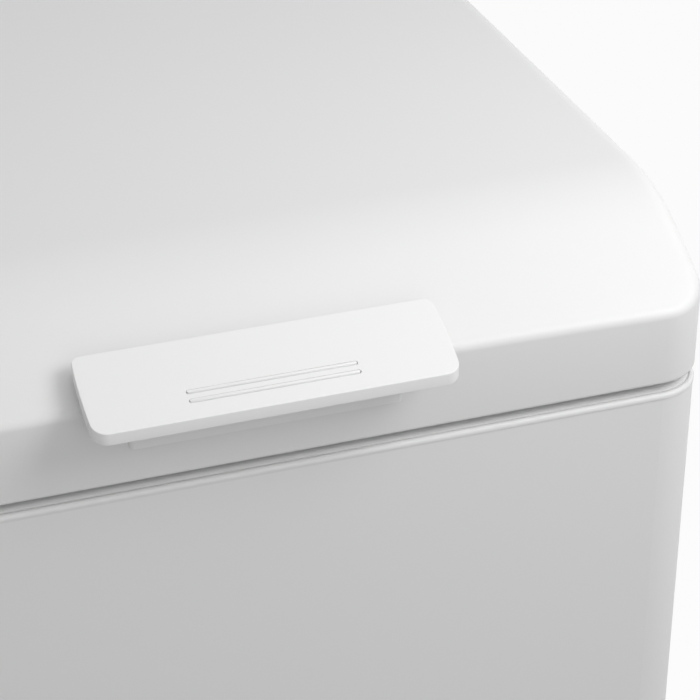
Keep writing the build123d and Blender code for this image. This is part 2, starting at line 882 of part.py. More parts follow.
with BuildPart() as cord_gland:
    with BuildSketch(gland_plane):
        Circle(gland_flange_radius)
    extrude(amount=gland_flange_thickness)
    with BuildSketch(gland_plane):
        Circle(gland_radius)
    extrude(amount=-gland_length)
    with BuildSketch(gland_plane):
        Circle(gland_bore)
    extrude(amount=gland_length, both=True, mode=Mode.SUBTRACT)
    fillet(cord_gland.edges().filter_by(GeomType.CIRCLE).sort_by(Axis.Y)[-1], gland_flange_thickness / 3)
save(cord_gland.part, "cord_gland")

# Control panel with its knob, button and lamps

panel_face = front - panel_proud
panel_plane = facing_front(panel_x, front, panel_z)
knob_plane = facing_front(panel_x + knob_offset, panel_face, panel_z)
button_plane = facing_front(panel_x + button_offset, panel_face, panel_z)
lens_points = {"power_lens": lens_spacing / 2, "alarm_lens": -lens_spacing / 2}
lens_planes = {
    name: facing_front(panel_x + lens_offset, panel_face, panel_z + z)
    for name, z in lens_points.items()
}

with BuildPart() as control_panel:
    with BuildSketch(panel_plane):
        RectangleRounded(panel_width, panel_height, panel_corner)
    extrude(amount=panel_proud)
    fillet(control_panel.faces().sort_by(Axis.Y)[0].edges(), panel_proud / 2)
    with BuildSketch(panel_plane):
        RectangleRounded(panel_width - 2 * panel_lip, panel_height - 2 * panel_lip, panel_corner / 2)
    extrude(amount=-panel_box_depth)
    with BuildSketch(panel_plane.offset(panel_proud - panel_wall)):
        RectangleRounded(
            panel_width - 2 * panel_lip - 2 * panel_wall,
            panel_height - 2 * panel_lip - 2 * panel_wall,
            panel_corner / 2 - panel_wall / 2,
        )
    extrude(amount=-panel_box_depth - panel_proud, mode=Mode.SUBTRACT)
    add(drillings([knob_plane], shaft_radius + shaft_clearance, 2 * panel_proud), mode=Mode.SUBTRACT)
    add(drillings(list(lens_planes.values()), lens_radius, 2 * panel_proud), mode=Mode.SUBTRACT)
    with BuildSketch(button_plane):
        Rectangle(button_width + 2 * button_clearance, button_height + 2 * button_clearance)
    extrude(amount=2 * panel_proud, both=True, mode=Mode.SUBTRACT)
save(control_panel.part, "control_panel")

with BuildPart() as thermostat:
    with BuildSketch(knob_plane.offset(-panel_wall)):
        RectangleRounded(thermostat_size, thermostat_size, panel_wall)
    extrude(amount=-thermostat_depth)
    shaft_hole = drillings([knob_plane.offset(-panel_wall)], shaft_radius + shaft_clearance, shaft_depth)
    add(shaft_hole, mode=Mode.SUBTRACT)
save(thermostat.part, "thermostat")

with BuildPart() as thermostat_shaft:
    with BuildSketch(knob_plane.offset(knob_gap + knob_bore_depth)):
        Circle(shaft_radius)
    extrude(amount=-(knob_gap + knob_bore_depth + panel_wall + shaft_depth - shaft_clearance))
save(thermostat_shaft.part, "thermostat_shaft")

with BuildPart() as thermostat_knob:
    with BuildSketch(knob_plane.offset(knob_gap)):
        Circle(knob_radius)
    extrude(amount=knob_height - knob_grip_height)
    fillet(thermostat_knob.edges().sort_by(Axis.Y)[0], knob_grip_height / 2)
    with BuildSketch(knob_plane.offset(knob_gap)):
        SlotOverall(2 * (knob_radius - knob_grip_height), knob_grip_width, rotation=90)
    extrude(amount=knob_height)
    fillet(thermostat_knob.faces().sort_by(Axis.Y)[0].edges(), knob_grip_height / 3)
    with BuildSketch(knob_plane.offset(knob_gap)):
        Circle(shaft_radius)
    extrude(amount=knob_bore_depth, mode=Mode.SUBTRACT)
save(thermostat_knob.part, "thermostat_knob")

with BuildPart() as fast_freeze_button:
    with BuildSketch(button_plane.offset(button_proud)):
        RectangleRounded(button_width, button_height, button_flange)
    extrude(amount=-(button_proud + panel_wall + button_clearance))
    fillet(fast_freeze_button.faces().sort_by(Axis.Y)[0].edges(), button_flange / 2)
    with BuildSketch(button_plane.offset(-panel_wall - button_clearance)):
        Rectangle(button_width + 2 * button_flange, button_height + 2 * button_flange)
    extrude(amount=-button_flange)
save(fast_freeze_button.part, "fast_freeze_button")

for name, plane in lens_planes.items():
    with BuildPart() as lens:
        with BuildSketch(plane.offset(lens_proud)):
            Circle(lens_radius)
        extrude(amount=-(lens_proud + panel_wall + lens_proud))
        fillet(lens.edges().sort_by(Axis.Y)[0], lens_rounding)
    save(lens.part, name)

# Drain plugs

inner_mouth = Plane(origin=(drain_x, drain_y, tank_floor))
for name, plane in {"inner_drain_plug": inner_mouth, "outer_drain_plug": drain_mouth}.items():
    with BuildPart() as plug:
        with BuildSketch(plane.offset(plug_clearance)):
            Circle(plug_cap_radius)
        extrude(amount=plug_cap_height)
        fillet(plug.faces().filter_by(plane).sort_by_distance(plane.origin)[-1].edges(), plug_cap_height / 3)
        with BuildSketch(plane.offset(plug_clearance)):
            Circle(drain_bore - plug_clearance)
        extrude(amount=-plug_length)
    save(plug.part, name)

# Lid

dish_size = (width - 2 * lid_dish_margin, depth - 2 * lid_dish_margin)
liner_bottom = lid_bottom + lid_liner_lift
liner_top = liner_bottom + lid_liner_thickness
outer_lid = lid_form(0.0)
inner_lid = lid_form(lid_skin)


def lid_dish(grow):
    # The hollow pressed up into the lid's liner, grown outwards by a sheet's thickness
    with BuildPart() as dish:
        with BuildSketch(Plane.XY.offset(liner_bottom)):
            RectangleRounded(dish_size[0] + 2 * grow, dish_size[1] + 2 * grow, lid_dish_radius + grow)
        extrude(amount=lid_dish_height + grow)
        fillet(dish.edges().group_by(Axis.Z)[-1], lid_dish_rounding + grow)
    return dish.part


with BuildPart() as lid_shell:
    add(outer_lid)
    fillet(lid_shell.edges().group_by(Axis.Z)[0], lid_hem_rounding)
    add(inner_lid, mode=Mode.SUBTRACT)
    add(handle_drillings, mode=Mode.SUBTRACT)
    for holes in leaf_drillings:
        add(holes, mode=Mode.SUBTRACT)
save(lid_shell.part, "lid_shell")

with BuildPart() as lid_liner:
    extrude(cabinet_plan(lid_skin, liner_bottom), amount=lid_liner_thickness)
    add(lid_dish(lid_liner_thickness))
    add(lid_dish(0.0), mode=Mode.SUBTRACT)
save(lid_liner.part, "lid_liner")

with BuildPart() as lid_insulation:
    add(inner_lid)
    extrude(cabinet_plan(0.0, lid_bottom), amount=liner_top - lid_bottom, mode=Mode.SUBTRACT)
    add(lid_dish(lid_liner_thickness), mode=Mode.SUBTRACT)
    add(handle_drillings, mode=Mode.SUBTRACT)
    for holes in leaf_drillings:
        add(holes, mode=Mode.SUBTRACT)
save(lid_insulation.part, "lid_insulation")

gasket_bottom = frame_top + gasket_clearance
gasket_height = liner_bottom - gasket_bottom
gasket_groove = gasket_bottom + (gasket_height - gasket_bellows_height) / 2
gasket_inner = gasket_inset + gasket_width
with BuildPart() as lid_gasket:
    extrude(cabinet_plan(gasket_inset, gasket_bottom), amount=gasket_height)
    inner_bellows = cabinet_plan(gasket_inner - gasket_bellows_depth, gasket_groove)
    extrude(inner_bellows, amount=gasket_bellows_height, mode=Mode.SUBTRACT)
    extrude(cabinet_plan(gasket_inner, gasket_bottom), amount=gasket_height, mode=Mode.SUBTRACT)
    with BuildSketch(Plane.XY.offset(gasket_groove)):
        add(cabinet_plan(0.0, 0.0))
        add(cabinet_plan(gasket_inset + gasket_bellows_depth, 0.0), mode=Mode.SUBTRACT)
    extrude(amount=gasket_bellows_height, mode=Mode.SUBTRACT)
save(lid_gasket.part, "lid_gasket")

# Handle

tilt = math.radians(plate_tilt)
plate_plane = Plane(
    origin=(0, front - plate_reach, lid_bottom + plate_front_rise),
    x_dir=(1, 0, 0),
    z_dir=(0, -math.sin(tilt), math.cos(tilt)),
)
with BuildPart() as handle_plate:
    with BuildSketch(plate_plane) as outline:
        half = plate_width / 2
        with BuildLine():
            Line((-half, 0), (half, 0))
            ThreePointArc((half, 0), (half + plate_end_bow, plate_depth / 2), (half, plate_depth))
            Line((half, plate_depth), (-half, plate_depth))
            ThreePointArc((-half, plate_depth), (-half - plate_end_bow, plate_depth / 2), (-half, 0))
        make_face()
        fillet(outline.vertices().group_by(Axis.Y)[0], plate_front_corner)
        fillet(outline.vertices().group_by(Axis.Y)[-1], plate_rear_corner)
    extrude(amount=plate_thickness, dir=(0, 0, -1))
    fillet(handle_plate.faces().filter_by(plate_plane).edges(), plate_edge_rounding)
    with BuildSketch(plate_plane):
        with Locations((0, plate_rib_setback), (0, plate_rib_setback + plate_rib_spacing)):
            SlotOverall(plate_rib_length, plate_rib_width)
    extrude(amount=plate_rib_height)
save(handle_plate.part, "handle_plate")

under_y = front - plate_reach
under_z = lid_bottom + plate_front_rise - plate_thickness
base_front = front - handle_base_proud
base_rear = front + handle_base_rear
with BuildPart() as handle_base:
    with BuildSketch(Plane.YZ):
        with BuildLine():
            Polyline(
                (base_front, lid_bottom + handle_base_rise),
                (base_front, under_z + (base_front - under_y) * math.tan(tilt)),
                (base_rear, under_z + (base_rear - under_y) * math.tan(tilt)),
                (base_rear, lid_bottom + handle_base_rise),
                close=True,
            )
        make_face()
    extrude(amount=handle_base_width / 2, both=True)
    fillet(handle_base.edges().filter_by(Axis.Z).group_by(Axis.Y)[0], handle_base_rounding)
    add(outer_lid, mode=Mode.SUBTRACT)
    add(handle_drillings, mode=Mode.SUBTRACT)
save(handle_base.part, "handle_base")
save(pan_screws(handle_screw_planes, handle_base_proud + screw_length), "handle_screws")

# Hinges: a cam on each leaf bears on a sprung shoe in the bracket's channel


def cam_point(angle):
    # A point of the involute that keeps the contact straight above the shoe while the lid turns
    reach = cam_start_reach - cam_base_radius * angle
    y = reach * math.sin(angle) - cam_base_radius * math.cos(angle)
    z = -reach * math.cos(angle) - cam_base_radius * math.sin(angle)
    return (pivot_y + y, pivot_z + z)


def biarc(start, start_direction, end, end_direction):
    # Two arcs that leave and arrive along the given directions
    chord = end - start
    a = 2 * (1 - start_direction.dot(end_direction))
    b = 2 * chord.dot(start_direction + end_direction)
    c = -chord.dot(chord)
    handle = (math.sqrt(b * b - 4 * a * c) - b) / (2 * a)
    first = start + start_direction * handle
    last = end - end_direction * handle
    middle = (first + last) / 2
    TangentArc(start, middle, tangent=start_direction)
    TangentArc(middle, end, tangent=(last - first).normalized())


def spring_line(x, y, bottom, top):
    # Quarter-turn points of the spring's centre line with close end turns, and the directions there
    end_rise = (2 * spring_wire_radius + spring_end_gap) / 4
    quarters = 4 * spring_turns
    span = top - bottom - 2 * (spring_wire_radius + spring_seat_gap)
    middle_rise = (span - 8 * end_rise) / (quarters - 8)
    rises = [end_rise] * 4 + [middle_rise] * (quarters - 8) + [end_rise] * 4
    points = []
    directions = []
    z = bottom + spring_wire_radius + spring_seat_gap
    for quarter in range(quarters + 1):
        turn = quarter * math.pi / 2
        near = rises[max(quarter - 1, 0)] + rises[min(quarter, quarters - 1)]
        points.append(Vector(x + spring_radius * math.cos(turn), y + spring_radius * math.sin(turn), z))
        sideways = spring_radius * math.pi / 2
        directions.append(
            Vector(-sideways * math.sin(turn), sideways * math.cos(turn), near / 2).normalized()
        )
        if quarter < quarters:
            z += rises[quarter]
    return points, directions


contact_y = pivot_y - cam_base_radius
shoe_top = pivot_z - cam_start_reach - cam_clearance
shoe_bottom = shoe_top - shoe_height
seat_top = bracket_bottom + seat_rise
channel_half = channel_inner_width / 2
reach_y = pivot_y + ear_radius
cam_angles = [
    math.radians(-cam_lead_in + step * (lid_travel + cam_lead_in + cam_run_out) / cam_steps)
    for step in range(cam_steps + 1)
]
cam_curve = [cam_point(angle) for angle in cam_angles]

for side, x in hinge_sides.items():
    pin_plane = Plane(origin=(x, pivot_y, pivot_z), z_dir=(1, 0, 0))

    with BuildPart() as hinge_bracket:
        with BuildSketch(facing_back(x, back, (bracket_bottom + bracket_top) / 2)):
            RectangleRounded(bracket_width, bracket_top - bracket_bottom, ear_radius)
        extrude(amount=bracket_sheet)
        for start in (x - channel_half - bracket_sheet, x + channel_half):
            with BuildSketch(Plane.YZ.offset(start)):
                with BuildLine():
                    Polyline(
                        (back, bracket_bottom),
                        (reach_y, bracket_bottom + flange_foot_rise),
                        (reach_y, pivot_z),
                        (pivot_y - ear_radius, pivot_z),
                        (pivot_y - ear_radius, bracket_top + ear_neck),
                        (back, bracket_top),
                        close=True,
                    )
                make_face()
                with Locations((pivot_y, pivot_z)):
                    Circle(ear_radius)
            extrude(amount=bracket_sheet)
        with BuildSketch(Plane.XY.offset(seat_top)):
            with Locations((x, back + bracket_sheet + seat_depth / 2)):
                Rectangle(channel_inner_width, seat_depth)
        extrude(amount=-seat_thickness)
        add(drillings([pin_plane], pin_radius, channel_inner_width), mode=Mode.SUBTRACT)
        add(drillings(bracket_screw_planes[side], screw_hole_radius, screw_length), mode=Mode.SUBTRACT)
    save(hinge_bracket.part, f"hinge_bracket_{side}")

    with BuildPart() as hinge_leaf:
        with BuildSketch(Plane.YZ.offset(x)):
            with BuildLine():
                Polyline(
                    (back, lid_bottom + leaf_bottom_rise),
                    (back + leaf_thickness, lid_bottom + leaf_bottom_rise),
                    cam_curve[0],
                )
                Spline(*cam_curve)
                Line(cam_curve[-1], (pivot_y + barrel_radius, pivot_z))
                CenterArc((pivot_y, pivot_z), barrel_radius, 0, 90)
                Polyline(
                    (pivot_y, pivot_z + barrel_radius),
                    (back, pivot_z + barrel_radius),
                    (back, lid_bottom + leaf_bottom_rise),
                )
            make_face()
        extrude(amount=knuckle_width / 2, both=True)
        leaf_height = leaf_top_rise - leaf_bottom_rise
        with BuildSketch(facing_back(x, back, lid_bottom + leaf_bottom_rise + leaf_height / 2)):
            RectangleRounded(leaf_width, leaf_height, barrel_radius)
        extrude(amount=leaf_thickness)
        add(drillings([pin_plane], pin_radius + pin_clearance, knuckle_width), mode=Mode.SUBTRACT)
        add(drillings(leaf_screw_planes[side], screw_hole_radius, screw_length), mode=Mode.SUBTRACT)
    save(hinge_leaf.part, f"hinge_leaf_{side}")

    with BuildPart() as hinge_plunger:
        with BuildSketch(Plane(origin=(x, contact_y, shoe_top))):
            Rectangle(channel_inner_width - 2 * shoe_clearance, shoe_depth)
        extrude(amount=-shoe_height)
        with BuildSketch(Plane(origin=(x, contact_y, shoe_bottom))):
            Circle(guide_rod_radius)
        extrude(amount=-guide_rod_length)
        chamfer(hinge_plunger.edges().group_by(Axis.Z)[0], guide_rod_radius / 3)
    save(hinge_plunger.part, f"hinge_plunger_{side}")

    coil, coil_directions = spring_line(x, contact_y, seat_top, shoe_bottom)
    with BuildPart() as hinge_spring:
        with BuildLine():
            for quarter in range(len(coil) - 1):
                biarc(
                    coil[quarter],
                    coil_directions[quarter],
                    coil[quarter + 1],
                    coil_directions[quarter + 1],
                )
        with BuildSketch(Plane(origin=coil[0], z_dir=coil_directions[0])):
            Circle(spring_wire_radius)
        sweep()
    save(hinge_spring.part, f"hinge_spring_{side}")
    turn_gap = min((coil[i + 4] - coil[i]).length for i in range(len(coil) - 4)) - 2 * spring_wire_radius
    print(f"hinge_spring_{side}: least gap between turns {turn_gap:.2f} mm")

pin_half = channel_half + bracket_sheet
with BuildPart() as hinge_pins:
    for x in hinge_sides.values():
        with BuildSketch(Plane(origin=(x, pivot_y, pivot_z), z_dir=(1, 0, 0))):
            Circle(pin_radius)
        extrude(amount=pin_half, both=True)
        for direction in (-1, 1):
            head_origin = (x + direction * pin_half, pivot_y, pivot_z)
            with BuildSketch(Plane(origin=head_origin, z_dir=(direction, 0, 0))):
                Circle(pin_head_radius)
            extrude(amount=pin_head_thickness)
save(hinge_pins.part, "hinge_pins")

all_bracket_planes = bracket_screw_planes["left"] + bracket_screw_planes["right"]
all_leaf_planes = leaf_screw_planes["left"] + leaf_screw_planes["right"]
save(pan_screws(all_bracket_planes, screw_length), "bracket_screws")
save(pan_screws(all_leaf_planes, screw_length), "leaf_screws")

# Wire basket, hung by hooks on the tank's collar


def wire_net(plane, length, breadth):
    # A flat net of crossed wires, with as many gaps as the wires' spacing gives
    columns = round(length / basket_mesh)
    rows = round(breadth / basket_mesh)
    pitch_x = (length - basket_wire) / columns
    pitch_y = (breadth - basket_wire) / rows
    with BuildPart() as net:
        with BuildSketch(plane):
            Rectangle(length, breadth)
            with GridLocations(pitch_x, pitch_y, columns, rows):
                Rectangle(pitch_x - basket_wire, pitch_y - basket_wire, mode=Mode.SUBTRACT)
        extrude(amount=-basket_wire)
    return net.part


basket_x = tank_half_width - collar_lip_thickness - basket_end_gap - basket_rim_wire - basket_width / 2
basket_length = 2 * (tank_half_depth - collar_lip_thickness - basket_front_gap - basket_rim_wire)
basket_top = frame_top - basket_rim_drop
basket_bottom = basket_top - basket_height
basket_wall = basket_height - basket_wire
wall_middle = basket_bottom + basket_wire + basket_wall / 2
side_length = basket_length - 2 * basket_wire

floor_plane = Plane(origin=(basket_x, 0, basket_bottom + basket_wire))
save(wire_net(floor_plane, basket_width, basket_length), "basket_floor")

with BuildPart() as basket_ends:
    add(wire_net(facing_front(basket_x, -basket_length / 2, wall_middle), basket_width, basket_wall))
    add(wire_net(facing_back(basket_x, basket_length / 2, wall_middle), basket_width, basket_wall))
save(basket_ends.part, "basket_ends")

with BuildPart() as basket_sides:
    for direction in (-1, 1):
        wall_plane = Plane(
            origin=(basket_x + direction * basket_width / 2, 0, wall_middle),
            x_dir=(0, direction, 0),
            z_dir=(direction, 0, 0),
        )
        add(wire_net(wall_plane, side_length, basket_wall))
save(basket_sides.part, "basket_sides")

hook_bottom = frame_top + basket_hook_gap
with BuildPart() as basket_rim:
    with BuildSketch(Plane.XY.offset(basket_top)):
        with Locations((basket_x, 0)):
            RectangleRounded(
                basket_width + 2 * basket_rim_wire,
                basket_length + 2 * basket_rim_wire,
                basket_rim_corner,
            )
            Rectangle(basket_width, basket_length, mode=Mode.SUBTRACT)
    extrude(amount=-basket_rim_wire)
    for direction in (-1, 1):
        rim_inner = direction * basket_length / 2
        rim_outer = rim_inner + direction * basket_rim_wire
        hook_end = rim_outer + direction * basket_hook_reach
        for offset in (-basket_hook_spacing / 2, basket_hook_spacing / 2):
            with BuildSketch(Plane.YZ.offset(basket_x + offset)):
                with BuildLine():
                    Polyline(
                        (rim_inner, basket_top),
                        (rim_inner, hook_bottom + basket_rim_wire),
                        (hook_end, hook_bottom + basket_rim_wire),
                        (hook_end, hook_bottom),
                        (rim_outer, hook_bottom),
                        (rim_outer, basket_top),
                        close=True,
                    )
                make_face()
            extrude(amount=basket_hook_width / 2, both=True)
save(basket_rim.part, "basket_rim")
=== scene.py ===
import json
import math

import bmesh
import bpy
from mathutils import Matrix, Vector


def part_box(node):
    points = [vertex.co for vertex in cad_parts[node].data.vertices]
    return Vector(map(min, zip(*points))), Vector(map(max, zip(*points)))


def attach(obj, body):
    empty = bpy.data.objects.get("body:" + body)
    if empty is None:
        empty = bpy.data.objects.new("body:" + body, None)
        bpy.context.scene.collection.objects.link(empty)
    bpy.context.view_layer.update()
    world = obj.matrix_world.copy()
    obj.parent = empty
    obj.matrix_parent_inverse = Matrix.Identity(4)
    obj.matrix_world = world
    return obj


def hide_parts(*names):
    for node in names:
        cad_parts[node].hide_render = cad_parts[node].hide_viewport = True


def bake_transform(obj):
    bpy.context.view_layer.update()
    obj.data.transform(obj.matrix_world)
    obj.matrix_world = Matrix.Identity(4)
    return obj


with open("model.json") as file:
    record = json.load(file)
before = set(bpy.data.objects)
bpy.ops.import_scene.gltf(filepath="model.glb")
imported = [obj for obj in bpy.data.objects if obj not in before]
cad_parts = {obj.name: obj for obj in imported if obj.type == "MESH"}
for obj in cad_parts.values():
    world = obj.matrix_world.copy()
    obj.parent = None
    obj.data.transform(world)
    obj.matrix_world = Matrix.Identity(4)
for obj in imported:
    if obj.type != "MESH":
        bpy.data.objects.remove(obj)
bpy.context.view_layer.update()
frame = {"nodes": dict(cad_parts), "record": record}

nodes = frame["nodes"]
sceneRoot = bpy.context.scene
print("frame loaded:", len(nodes), "nodes")

sceneRoot.view_settings.view_transform = "Standard"

# Shader groups that several finishes share

noiseMiddle = 0.5  # noise runs from 0 to 1


def newGroup(name, inputs, outputs):
    group = bpy.data.node_groups.new(name, "ShaderNodeTree")
    for socketName, kind, default in inputs:
        socket = group.interface.new_socket(name=socketName, in_out="INPUT", socket_type=kind)
        if default is not None:
            socket.default_value = default
    for socketName, kind in outputs:
        group.interface.new_socket(name=socketName, in_out="OUTPUT", socket_type=kind)
    start = group.nodes.new("NodeGroupInput")
    end = group.nodes.new("NodeGroupOutput")
    return group, start, end


def makeMottleGroup():
    # slow drift of tone, such as paint that isn't perfectly even
    group, start, end = newGroup(
        "toneMottle",
        [("Vector", "NodeSocketVector", None), ("Color", "NodeSocketColor", (0.8, 0.8, 0.8, 1)),
         ("Scale", "NodeSocketFloat", 8.0), ("Amount", "NodeSocketFloat", 0.03)],
        [("Color", "NodeSocketColor")])
    noise = group.nodes.new("ShaderNodeTexNoise")
    noise.inputs["Detail"].default_value = 3.0
    centre = group.nodes.new("ShaderNodeMath")
    centre.operation = "SUBTRACT"
    centre.inputs[1].default_value = noiseMiddle
    amount = group.nodes.new("ShaderNodeMath")
    amount.operation = "MULTIPLY_ADD"
    amount.inputs[2].default_value = 1.0
    tint = group.nodes.new("ShaderNodeVectorMath")
    tint.operation = "SCALE"
    group.links.new(start.outputs["Vector"], noise.inputs["Vector"])
    group.links.new(start.outputs["Scale"], noise.inputs["Scale"])
    group.links.new(noise.outputs["Fac"], centre.inputs[0])
    group.links.new(centre.outputs[0], amount.inputs[0])
    group.links.new(start.outputs["Amount"], amount.inputs[1])
    group.links.new(start.outputs["Color"], tint.inputs[0])
    group.links.new(amount.outputs[0], tint.inputs["Scale"])
    group.links.new(tint.outputs[0], end.inputs["Color"])
    return group


def makeGrainGroup():
    # fine relief of a sprayed, moulded or cast skin
    group, start, end = newGroup(
        "skinGrain",
        [("Vector", "NodeSocketVector", None), ("Scale", "NodeSocketFloat", 400.0),
         ("Roughness", "NodeSocketFloat", 0.4), ("Spread", "NodeSocketFloat", 0.06)],
        [("Height", "NodeSocketFloat"), ("Roughness", "NodeSocketFloat")])
    noise = group.nodes.new("ShaderNodeTexNoise")
    noise.inputs["Detail"].default_value = 2.0
    centre = group.nodes.new("ShaderNodeMath")
    centre.operation = "SUBTRACT"
    centre.inputs[1].default_value = noiseMiddle
    vary = group.nodes.new("ShaderNodeMath")
    vary.operation = "MULTIPLY_ADD"
    group.links.new(start.outputs["Vector"], noise.inputs["Vector"])
    group.links.new(start.outputs["Scale"], noise.inputs["Scale"])
    group.links.new(noise.outputs["Fac"], centre.inputs[0])
    group.links.new(centre.outputs[0], vary.inputs[0])
    group.links.new(start.outputs["Spread"], vary.inputs[1])
    group.links.new(start.outputs["Roughness"], vary.inputs[2])
    group.links.new(noise.outputs["Fac"], end.inputs["Height"])
    group.links.new(vary.outputs[0], end.inputs["Roughness"])
    return group


def makeEmbossGroup():
    # hammered relief of a stucco-rolled sheet
    group, start, end = newGroup(
        "stuccoEmboss",
        [("Vector", "NodeSocketVector", None), ("Scale", "NodeSocketFloat", 170.0)],
        [("Height", "NodeSocketFloat")])
    cells = group.nodes.new("ShaderNodeTexVoronoi")
    cells.feature = "SMOOTH_F1"
    cells.inputs["Smoothness"].default_value = 0.6
    group.links.new(start.outputs["Vector"], cells.inputs["Vector"])
    group.links.new(start.outputs["Scale"], cells.inputs["Scale"])
    group.links.new(cells.outputs["Distance"], end.inputs["Height"])
    return group


mottleGroup = makeMottleGroup()
grainGroup = makeGrainGroup()
embossGroup = makeEmbossGroup()

# Finishes, each told by what differs from a plain one

plainFinish = {
    "mottle": 0.03, "mottleScale": 9.0, "grainScale": 500.0, "spread": 0.08, "bump": 0.2, "relief": 0.00005,
    "emboss": 0.0, "metallic": 0.0, "ior": 1.45, "coat": 0.0, "coatRoughness": 0.15}


def makeFinish(name, changes):
    look = {**plainFinish, **changes}
    material = bpy.data.materials.new(name)
    material.use_nodes = True
    tree = material.node_tree
    shader = tree.nodes["Principled BSDF"]
    coords = tree.nodes.new("ShaderNodeTexCoord")
    mottle = tree.nodes.new("ShaderNodeGroup")
    mottle.node_tree = mottleGroup
    mottle.inputs["Color"].default_value = (*look["color"], 1)
    mottle.inputs["Scale"].default_value = look["mottleScale"]
    mottle.inputs["Amount"].default_value = look["mottle"]
    grain = tree.nodes.new("ShaderNodeGroup")
    grain.node_tree = grainGroup
    grain.inputs["Scale"].default_value = look["grainScale"]
    grain.inputs["Roughness"].default_value = look["roughness"]
    grain.inputs["Spread"].default_value = look["spread"]
    bump = tree.nodes.new("ShaderNodeBump")
    bump.inputs["Strength"].default_value = look["bump"]
    bump.inputs["Distance"].default_value = look["relief"]
    tree.links.new(coords.outputs["Object"], mottle.inputs["Vector"])
    tree.links.new(coords.outputs["Object"], grain.inputs["Vector"])
    tree.links.new(mottle.outputs["Color"], shader.inputs["Base Color"])
    tree.links.new(grain.outputs["Roughness"], shader.inputs["Roughness"])
    if look["emboss"]:
        emboss = tree.nodes.new("ShaderNodeGroup")
        emboss.node_tree = embossGroup
        emboss.inputs["Scale"].default_value = look["emboss"]
        tree.links.new(coords.outputs["Object"], emboss.inputs["Vector"])
        tree.links.new(emboss.outputs["Height"], bump.inputs["Height"])
    else:
        tree.links.new(grain.outputs["Height"], bump.inputs["Height"])
    tree.links.new(bump.outputs["Normal"], shader.inputs["Normal"])
    shader.inputs["Metallic"].default_value = look["metallic"]
    shader.inputs["IOR"].default_value = look["ior"]
    shader.inputs["Coat Weight"].default_value = look["coat"]
    shader.inputs["Coat Roughness"].default_value = look["coatRoughness"]
    return material


whiteEnamel = makeFinish("whiteEnamel", {
    "color": (0.80, 0.80, 0.80), "roughness": 0.44, "spread": 0.05, "grainScale": 260.0,
    "bump": 0.12, "relief": 0.00006, "mottle": 0.012, "mottleScale": 5.0})
whitePlastic = makeFinish("whitePlastic", {
    "color": (0.82, 0.82, 0.82), "roughness": 0.42, "spread": 0.06, "grainScale": 900.0,
    "bump": 0.15, "relief": 0.00004, "mottle": 0.012})
platePlastic = makeFinish("platePlastic", {
    "color": (0.855, 0.855, 0.855), "roughness": 0.40, "spread": 0.06, "grainScale": 900.0,
    "bump": 0.15, "relief": 0.00004, "mottle": 0.012})
collarPlastic = makeFinish("collarPlastic", {
    "color": (0.76, 0.76, 0.76), "roughness": 0.42, "grainScale": 900.0, "bump": 0.15,
    "relief": 0.00004, "mottle": 0.015})
inkGrey = makeFinish("inkGrey", {
    "color": (0.10, 0.11, 0.12), "roughness": 0.5, "grainScale": 1500.0, "bump": 0.1, "mottle": 0.1,
    "mottleScale": 200.0})
stuccoAluminium = makeFinish("stuccoAluminium", {
    "color": (0.78, 0.79, 0.80), "roughness": 0.34, "metallic": 1.0, "emboss": 170.0,
    "bump": 0.55, "relief": 0.0006, "mottle": 0.05})
paintedSheet = makeFinish("paintedSheet", {
    "color": (0.60, 0.61, 0.62), "roughness": 0.45, "grainScale": 300.0, "bump": 0.2, "mottle": 0.05})
yellowFoam = makeFinish("yellowFoam", {
    "color": (0.62, 0.45, 0.17), "roughness": 0.9, "grainScale": 250.0, "bump": 0.8,
    "relief": 0.0006, "mottle": 0.2, "mottleScale": 30.0})
copperTube = makeFinish("copperTube", {
    "color": (0.75, 0.36, 0.20), "roughness": 0.32, "metallic": 1.0, "mottle": 0.35,
    "mottleScale": 40.0, "spread": 0.25})
blackTube = makeFinish("blackTube", {"color": (0.02, 0.02, 0.02), "roughness": 0.45, "mottle": 0.1})
darkPlastic = makeFinish("darkPlastic", {
    "color": (0.025, 0.025, 0.027), "roughness": 0.55, "grainScale": 700.0, "bump": 0.4,
    "relief": 0.0001, "mottle": 0.15})
greyPlastic = makeFinish("greyPlastic", {
    "color": (0.36, 0.37, 0.38), "roughness": 0.45, "grainScale": 800.0, "bump": 0.3, "mottle": 0.05})
gasketVinyl = makeFinish("gasketVinyl", {
    "color": (0.66, 0.66, 0.66), "roughness": 0.6, "grainScale": 500.0, "bump": 0.3, "mottle": 0.06})
blackEnamel = makeFinish("blackEnamel", {
    "color": (0.012, 0.012, 0.013), "roughness": 0.32, "grainScale": 350.0, "bump": 0.35,
    "relief": 0.00015, "mottle": 0.3, "coat": 0.3})
blackRubber = makeFinish("blackRubber", {
    "color": (0.015, 0.015, 0.015), "roughness": 0.8, "grainScale": 600.0, "bump": 0.5, "mottle": 0.2})
zincSteel = makeFinish("zincSteel", {
    "color": (0.62, 0.62, 0.60), "roughness": 0.30, "metallic": 1.0, "mottle": 0.18,
    "mottleScale": 60.0, "spread": 0.18, "grainScale": 350.0})
springSteel = makeFinish("springSteel", {
    "color": (0.30, 0.30, 0.31), "roughness": 0.33, "metallic": 1.0, "mottle": 0.2, "mottleScale": 80.0})
greenLens = makeFinish("greenLens", {
    "color": (0.02, 0.32, 0.06), "roughness": 0.12, "coat": 0.8, "coatRoughness": 0.05, "mottle": 0.08,
    "mottleScale": 300.0})
redLens = makeFinish("redLens", {
    "color": (0.42, 0.012, 0.010), "roughness": 0.12, "coat": 0.8, "coatRoughness": 0.05, "mottle": 0.08,
    "mottleScale": 300.0})
coatedWire = makeFinish("coatedWire", {
    "color": (0.80, 0.80, 0.79), "roughness": 0.35, "grainScale": 500.0, "bump": 0.2, "mottle": 0.03})

